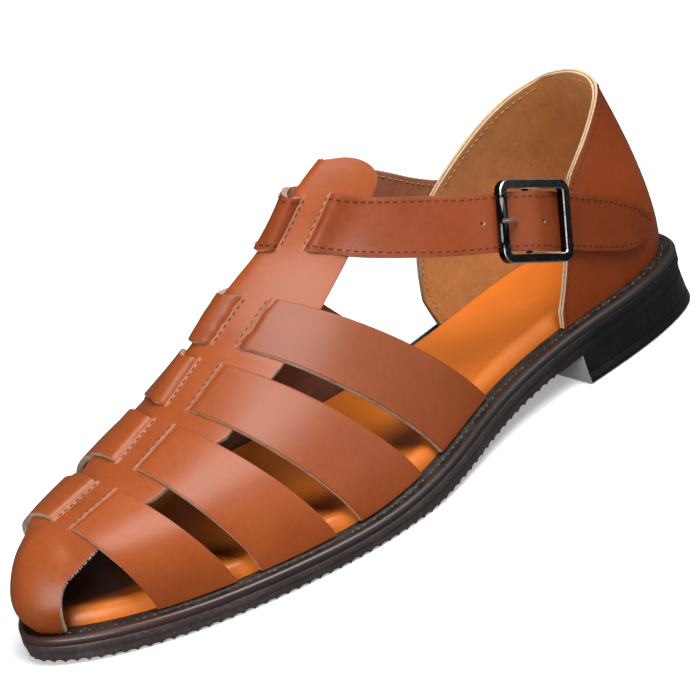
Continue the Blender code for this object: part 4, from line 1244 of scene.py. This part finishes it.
def strap_seam(lines, inset):
    """Stitch path at a distance inside the strap's edge: along its upper side, round the tip and back."""
    upper, middle, lower = lines
    outward = np.cross(lower - upper, np.gradient(middle, axis=0))
    outward[-1] = outward[-2]
    outward = unit(outward)
    border = np.concatenate([upper, lower[-2::-1]])
    outward = np.concatenate([outward, outward[-2::-1]])
    border = along(border, np.arange(0, lengths(border)[-1], SEAM_STEP), np.hstack([border, outward]))
    border, outward = border[:, :3], border[:, 3:]
    aside = unit(np.cross(outward, np.gradient(border, axis=0)))
    return border - aside * inset + outward * INSTEP_THICK / 2, outward


def punch(strap):
    """Cuts the row of holes through the strap; their walls show the leather's raw edge."""
    points, faces = [], []
    for forward in HOLES:
        low, high = len(points), len(points) + HOLE_SIDES
        for depth in (-HOLE_DEPTH, HOLE_DEPTH):
            for turn in np.linspace(0, 2 * math.pi, HOLE_SIDES, endpoint=False):
                aside, above = HOLE_RADIUS * math.cos(turn), HOLE_RADIUS * math.sin(turn)
                points.append((forward + aside, above, depth))
        faces += ring_faces(low, high, HOLE_SIDES)
        faces += [list(range(low, high))[::-1], list(range(high, high + HOLE_SIDES))]
    mesh = bpy.data.meshes.new("punches")
    mesh.from_pydata(((buckle_points(points) - ORIGIN) * MM).tolist(), [], faces)
    mesh.polygons.foreach_set("material_index", [2] * len(faces))
    for material in strap.data.materials:
        mesh.materials.append(material)
    punches = bpy.data.objects.new("punches", mesh)
    cut = strap.modifiers.new("holes", "BOOLEAN")
    cut.operation, cut.solver, cut.object = "DIFFERENCE", "EXACT", punches
    bpy.context.view_layer.update()
    holed = bpy.data.meshes.new_from_object(strap.evaluated_get(bpy.context.evaluated_depsgraph_get()))
    strap.modifiers.clear()
    strap.data = holed
    bpy.data.objects.remove(punches)


instep = instep_lines()
instep_grid = np.array([across_strap(instep, share) for share in np.linspace(0, 1, INSTEP_ROWS)])
instep_leather = leather("instep_leather", INSTEP_DARK, INSTEP_LIGHT, (0.34, 0.42), coat=0.1)
strap_backing = leather("strap_backing", BACKING_DARK, BACKING_LIGHT, (0.5, 0.6), coat=0.0)
hide = [instep_leather, strap_backing, cut_edge]
instep_strap = leather_sheet("instep_strap", instep_grid, INSTEP_THICK, hide, INSTEP_EDGE)
punch(instep_strap)
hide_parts("upper")
seam, seam_outward = strap_seam(instep, EDGE_SEAM)
inner_seam = [(seam - seam_outward * INSTEP_THICK, -seam_outward)]
strap_stitches = stitch_rows("strap_stitches", [(seam, seam_outward)], SEAM_STITCH, dark_thread)
inner_stitches = stitch_rows("strap_inner_stitches", inner_seam, LINING_STITCH, pale_thread)


# Buckle
# A rounded gunmetal frame with a tube roller on its front bar, and a wire prong hooked on the centre bar.
# Cast and blackened; its bevels and its prong are given a bright metal colour as painted highlights.
FRAME_CORNER, FRONT_BAR = 4.5, 2.2
CORNER_STEPS = 12
SEAT_TAPER = 0.4  # length over which the front bar thins to the roller's seat
ROLLER_RADIUS, ROLLER_BORE, ROLLER_LENGTH = 2.1, 1.5, 17.0
ROLLER_EDGE, ROLLER_STEPS = 0.25, 32
CENTRE_BAR, CENTRE_DEPTH = 2.4, 3.6
BAR_DROP = ((0.0, 0.1), (0.3, 0.4), (0.6, 0.7), (1.1, 0.92), (1.8, 1.0))  # inset, share of the depth
PRONG_WIRE, PRONG_END = 1.6, 2.4  # the wire's thickness; its length beyond the roller
PRONG_RISE = (  # along the strap, out of it
    (-3.0, -1.7),
    (-5.5, -1.5),
    (-8.0, -0.3),
    (-10.5, 1.6),
    (-12.5, 2.8),
)
BAR_FLAT = 0.8  # share of each face of the frame's bars between its bevels
ROUND_BAR = [(math.cos(turn), math.sin(turn)) for turn in np.linspace(0, 2 * math.pi, 24, endpoint=False)]
BEVELLED_BAR = [
    (1, -BAR_FLAT),
    (1, BAR_FLAT),
    (BAR_FLAT, 1),
    (-BAR_FLAT, 1),
    (-1, BAR_FLAT),
    (-1, -BAR_FLAT),
    (-BAR_FLAT, -1),
    (BAR_FLAT, -1),
]
METAL_DARK, METAL_BRIGHT = (0.035, 0.034, 0.035), (0.06, 0.058, 0.059)
# painted highlight: a bright metal colour for the frame's bevels and the prong
HIGHLIGHT_DARK, HIGHLIGHT_BRIGHT = (0.7, 0.69, 0.68), (0.9, 0.89, 0.88)
HALF_LENGTH, HALF_HEIGHT = (FRAME_LENGTH - FRAME_BAR) / 2, (FRAME_HEIGHT - FRAME_BAR) / 2


def swept(path, radii, closed, profile=ROUND_BAR):
    """Bar of a profile along a flat path in the buckle's own axes, with a radius at each point."""
    path = np.asarray(path, float)
    tangent = np.gradient(path, axis=0)
    if closed:
        tangent = np.roll(path, -1, axis=0) - np.roll(path, 1, axis=0)
    across = np.eye(3)[np.ptp(path, axis=0).argmin()]
    points, faces = [], []
    for centre, side, radius in zip(path, np.cross(unit(tangent), across), radii):
        points += [centre + radius * (aside * side + above * across) for aside, above in profile]
    count, corners = len(path), len(profile)
    for i in range(count if closed else count - 1):
        faces += ring_faces(i * corners, (i + 1) % count * corners, corners)
    if not closed:
        faces += [list(range(end, end + corners)) for end in (0, (count - 1) * corners)]
    return buckle_points(points), faces


def joined(*solids):
    """Points and faces of several solids together."""
    points, faces = [], []
    for own_points, own_faces in solids:
        faces += [[len(points) + corner for corner in face] for face in own_faces]
        points += list(own_points)
    return points, faces


def metal(name, dark, bright, roughness):
    """Blackened metal, rubbed brighter in fine scratches."""
    material, tree, shader = new_material(name, Metallic=1.0)
    rubbed = noise(tree, 500.0, Detail=6.0, Distortion=1.0)
    two_tone(tree, shader, spread(tree, rubbed, 0.4, 0.75), dark, bright, roughness)
    bumped(tree, shader, rubbed, 0.08, 0.05)
    return material


def frame_path():
    path, radii = [], []
    inner = FRAME_CORNER - FRAME_BAR / 2
    seat = ROLLER_LENGTH / 2 + GAP
    for x_sign, y_sign, start in ((1, 1, 0), (-1, 1, 90), (-1, -1, 180), (1, -1, 270)):
        for turn in np.radians(start + np.linspace(0, 90, CORNER_STEPS)):
            x = x_sign * (HALF_LENGTH - inner) + inner * math.cos(turn)
            y = y_sign * (HALF_HEIGHT - inner) + inner * math.sin(turn)
            path.append((x, y, 0.0))
            radii.append(FRAME_BAR / 2)
        if (x_sign, y_sign) == (-1, 1):
            places = (seat + SEAT_TAPER, seat, -seat, -seat - SEAT_TAPER)
            path += [(-HALF_LENGTH, place, 0.0) for place in places]
            radii += [FRAME_BAR / 2, FRONT_BAR / 2, FRONT_BAR / 2, FRAME_BAR / 2]
    return path, radii


def centre_bar_path():
    half_bar = [(0, HALF_HEIGHT - inset, -share * CENTRE_DEPTH) for inset, share in BAR_DROP]
    return half_bar + [(x, -y, z) for x, y, z in reversed(half_bar)]


def roller_loops():
    turns = np.linspace(0, 2 * math.pi, ROLLER_STEPS, endpoint=False)
    half = ROLLER_LENGTH / 2
    profile = (
        (ROLLER_RADIUS - ROLLER_EDGE, half),
        (ROLLER_RADIUS, half - ROLLER_EDGE),
        (ROLLER_RADIUS, ROLLER_EDGE - half),
        (ROLLER_RADIUS - ROLLER_EDGE, -half),
        (ROLLER_BORE, -half),
        (ROLLER_BORE, half),
    )
    loops = []
    for radius, place in profile:
        ring = [(-HALF_LENGTH + radius * math.cos(turn), place, radius * math.sin(turn)) for turn in turns]
        loops.append(buckle_points(ring))
    return loops


def prong_path():
    """Wire hooked round the centre bar, then up through the strap's hole and forward over the roller."""
    hook = CENTRE_BAR / 2 + GAP + PRONG_WIRE / 2
    rest = ROLLER_RADIUS + GAP + PRONG_WIRE / 2
    turns = np.radians(np.linspace(-170, 90, 25))
    eye = [(hook * math.cos(turn), 0.0, hook * math.sin(turn) - CENTRE_DEPTH) for turn in turns]
    through = [(forward, 0.0, out) for forward, out in PRONG_RISE]
    over = [(-HALF_LENGTH, 0.0, rest + 0.1), (-HALF_LENGTH - PRONG_END, 0.0, rest)]
    return eye + through + over


gunmetal = metal("gunmetal", METAL_DARK, METAL_BRIGHT, (0.1, 0.18))
# painted highlight: bright metal on the bevels and the prong, standing in for reflections
edge_highlight_metal = metal("edge_highlight_metal", HIGHLIGHT_DARK, HIGHLIGHT_BRIGHT, (0.3, 0.42))
bar = centre_bar_path()
frame_path_points, frame_radii = frame_path()
frame_bars = swept(frame_path_points, frame_radii, True, BEVELLED_BAR)
centre_bar = swept(bar, [CENTRE_BAR / 2] * len(bar), False)
on_bevel = [face % 2 for face in range(len(frame_bars[1]))] + [0] * len(centre_bar[1])
points, faces = joined(frame_bars, centre_bar)
buckle_frame = make_piece("buckle_bars", points, faces, [gunmetal, edge_highlight_metal], on_bevel, sharp=30)
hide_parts("buckle_frame")
buckle_roller = make_piece("buckle_tube", *ring_solid(roller_loops()), [gunmetal])
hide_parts("buckle_roller")
prong = prong_path()
points, faces = swept(prong, [PRONG_WIRE / 2] * len(prong), False)
buckle_prong = make_piece("buckle_wire", points, faces, [edge_highlight_metal])
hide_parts("buckle_prong")


# Buckle tab
# A short leather tab folded round the centre bar, notched for the prong, and sewn to the lateral quarter.
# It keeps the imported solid's shape, under the strap, with the quarter's leather on it.
tab_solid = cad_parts["buckle_tab"]
tab_solid.data.materials.clear()
tab_solid.data.materials.append(quarter_leather)


# Studio
# A plain pale floor, a large soft light overhead and weaker ones from the toe and beside the heel.
CAMERA_TURN, CAMERA_RISE, CAMERA_ROLL = math.radians(33.21), math.radians(23.8), math.radians(15.69)
CAMERA_DISTANCE, CAMERA_TARGET = 1521.8, np.array((150.0, 0.0, 40.0))
IMAGE_WIDTH, FOCAL_PIXELS = 700.0, 4309.4
IMAGE_SHIFT = (5.26, 13.74)  # pixels
SENSOR = 36.0
FLOOR_SIZE, FLOOR_GAP, FLOOR_GLOW = 4.0, 0.0003, 0.3
PAPER_DARK, PAPER_LIGHT = (0.92, 0.92, 0.92), (0.95, 0.95, 0.95)
WORLD_STRENGTH = 0.1
LIGHTS = (  # place in metres, size, power
    ((-0.13, 0.49, 1.25), 1.0, 26.0),
    ((1.32, 0.61, 0.32), 0.9, 20.0),
    ((-0.75, 1.2, 0.52), 1.2, 5.0),
)


def facing(place, target):
    """Right, up and back of a light or camera at the place that looks at the target."""
    back = unit(np.array(place) - np.array(target))
    right = unit(np.cross(UPWARD, back))
    return right, np.cross(back, right), back


def matrix_from(right, up, back, place):
    turned = np.eye(4)
    turned[:3] = np.column_stack([right, up, back, place])
    return Matrix(turned.tolist())


def photo_camera():
    flat = math.cos(CAMERA_RISE)
    back = np.array((math.sin(CAMERA_TURN) * flat, math.cos(CAMERA_TURN) * flat, math.sin(CAMERA_RISE)))
    right, up, back = facing(back, (0.0, 0.0, 0.0))
    rolled_right = math.cos(CAMERA_ROLL) * right - math.sin(CAMERA_ROLL) * up
    rolled_up = math.sin(CAMERA_ROLL) * right + math.cos(CAMERA_ROLL) * up
    place = (CAMERA_TARGET + back * CAMERA_DISTANCE - ORIGIN) * MM
    camera = bpy.data.objects.new("camera", bpy.data.cameras.new("camera"))
    camera.data.sensor_width = SENSOR
    camera.data.lens = FOCAL_PIXELS / IMAGE_WIDTH * SENSOR
    camera.data.shift_x, camera.data.shift_y = (shift / IMAGE_WIDTH for shift in IMAGE_SHIFT)
    camera.matrix_world = matrix_from(rolled_right, rolled_up, back, place)
    return camera


camera = photo_camera()
bpy.context.scene.collection.objects.link(camera)
bpy.context.scene.camera = camera

for number, (place, size, power) in enumerate(LIGHTS, 1):
    lamp = bpy.data.objects.new(f"soft_light_{number}", bpy.data.lights.new(f"soft_light_{number}", "AREA"))
    lamp.data.size = size
    lamp.data.energy = power
    lamp.matrix_world = matrix_from(*facing(place, (0.0, 0.0, 0.0)), place)
    bpy.context.scene.collection.objects.link(lamp)

world = bpy.data.worlds.new("studio")
world.use_nodes = True
background = world.node_tree.nodes["Background"]
background.inputs["Color"].default_value = (1.0, 1.0, 1.0, 1.0)
background.inputs["Strength"].default_value = WORLD_STRENGTH
bpy.context.scene.world = world
bpy.context.scene.view_settings.view_transform = "Standard"

floor_mesh = bpy.data.meshes.new("floor")
edge = FLOOR_SIZE / 2
corners = [(-edge, -edge, 0), (edge, -edge, 0), (edge, edge, 0), (-edge, edge, 0)]
floor_mesh.from_pydata(corners, [], [(0, 1, 2, 3)])
floor = bpy.data.objects.new("floor", floor_mesh)
floor.location.z = -FLOOR_GAP
bpy.context.scene.collection.objects.link(floor)
floor_paper, tree, shader = new_material(
    "floor_paper", Emission_Color=(1.0, 1.0, 1.0, 1.0), Emission_Strength=FLOOR_GLOW
)
two_tone(tree, shader, noise(tree, 12.0), PAPER_DARK, PAPER_LIGHT, (0.7, 0.8))
floor_mesh.materials.append(floor_paper)
floor.visible_glossy = False
floor.visible_diffuse = False
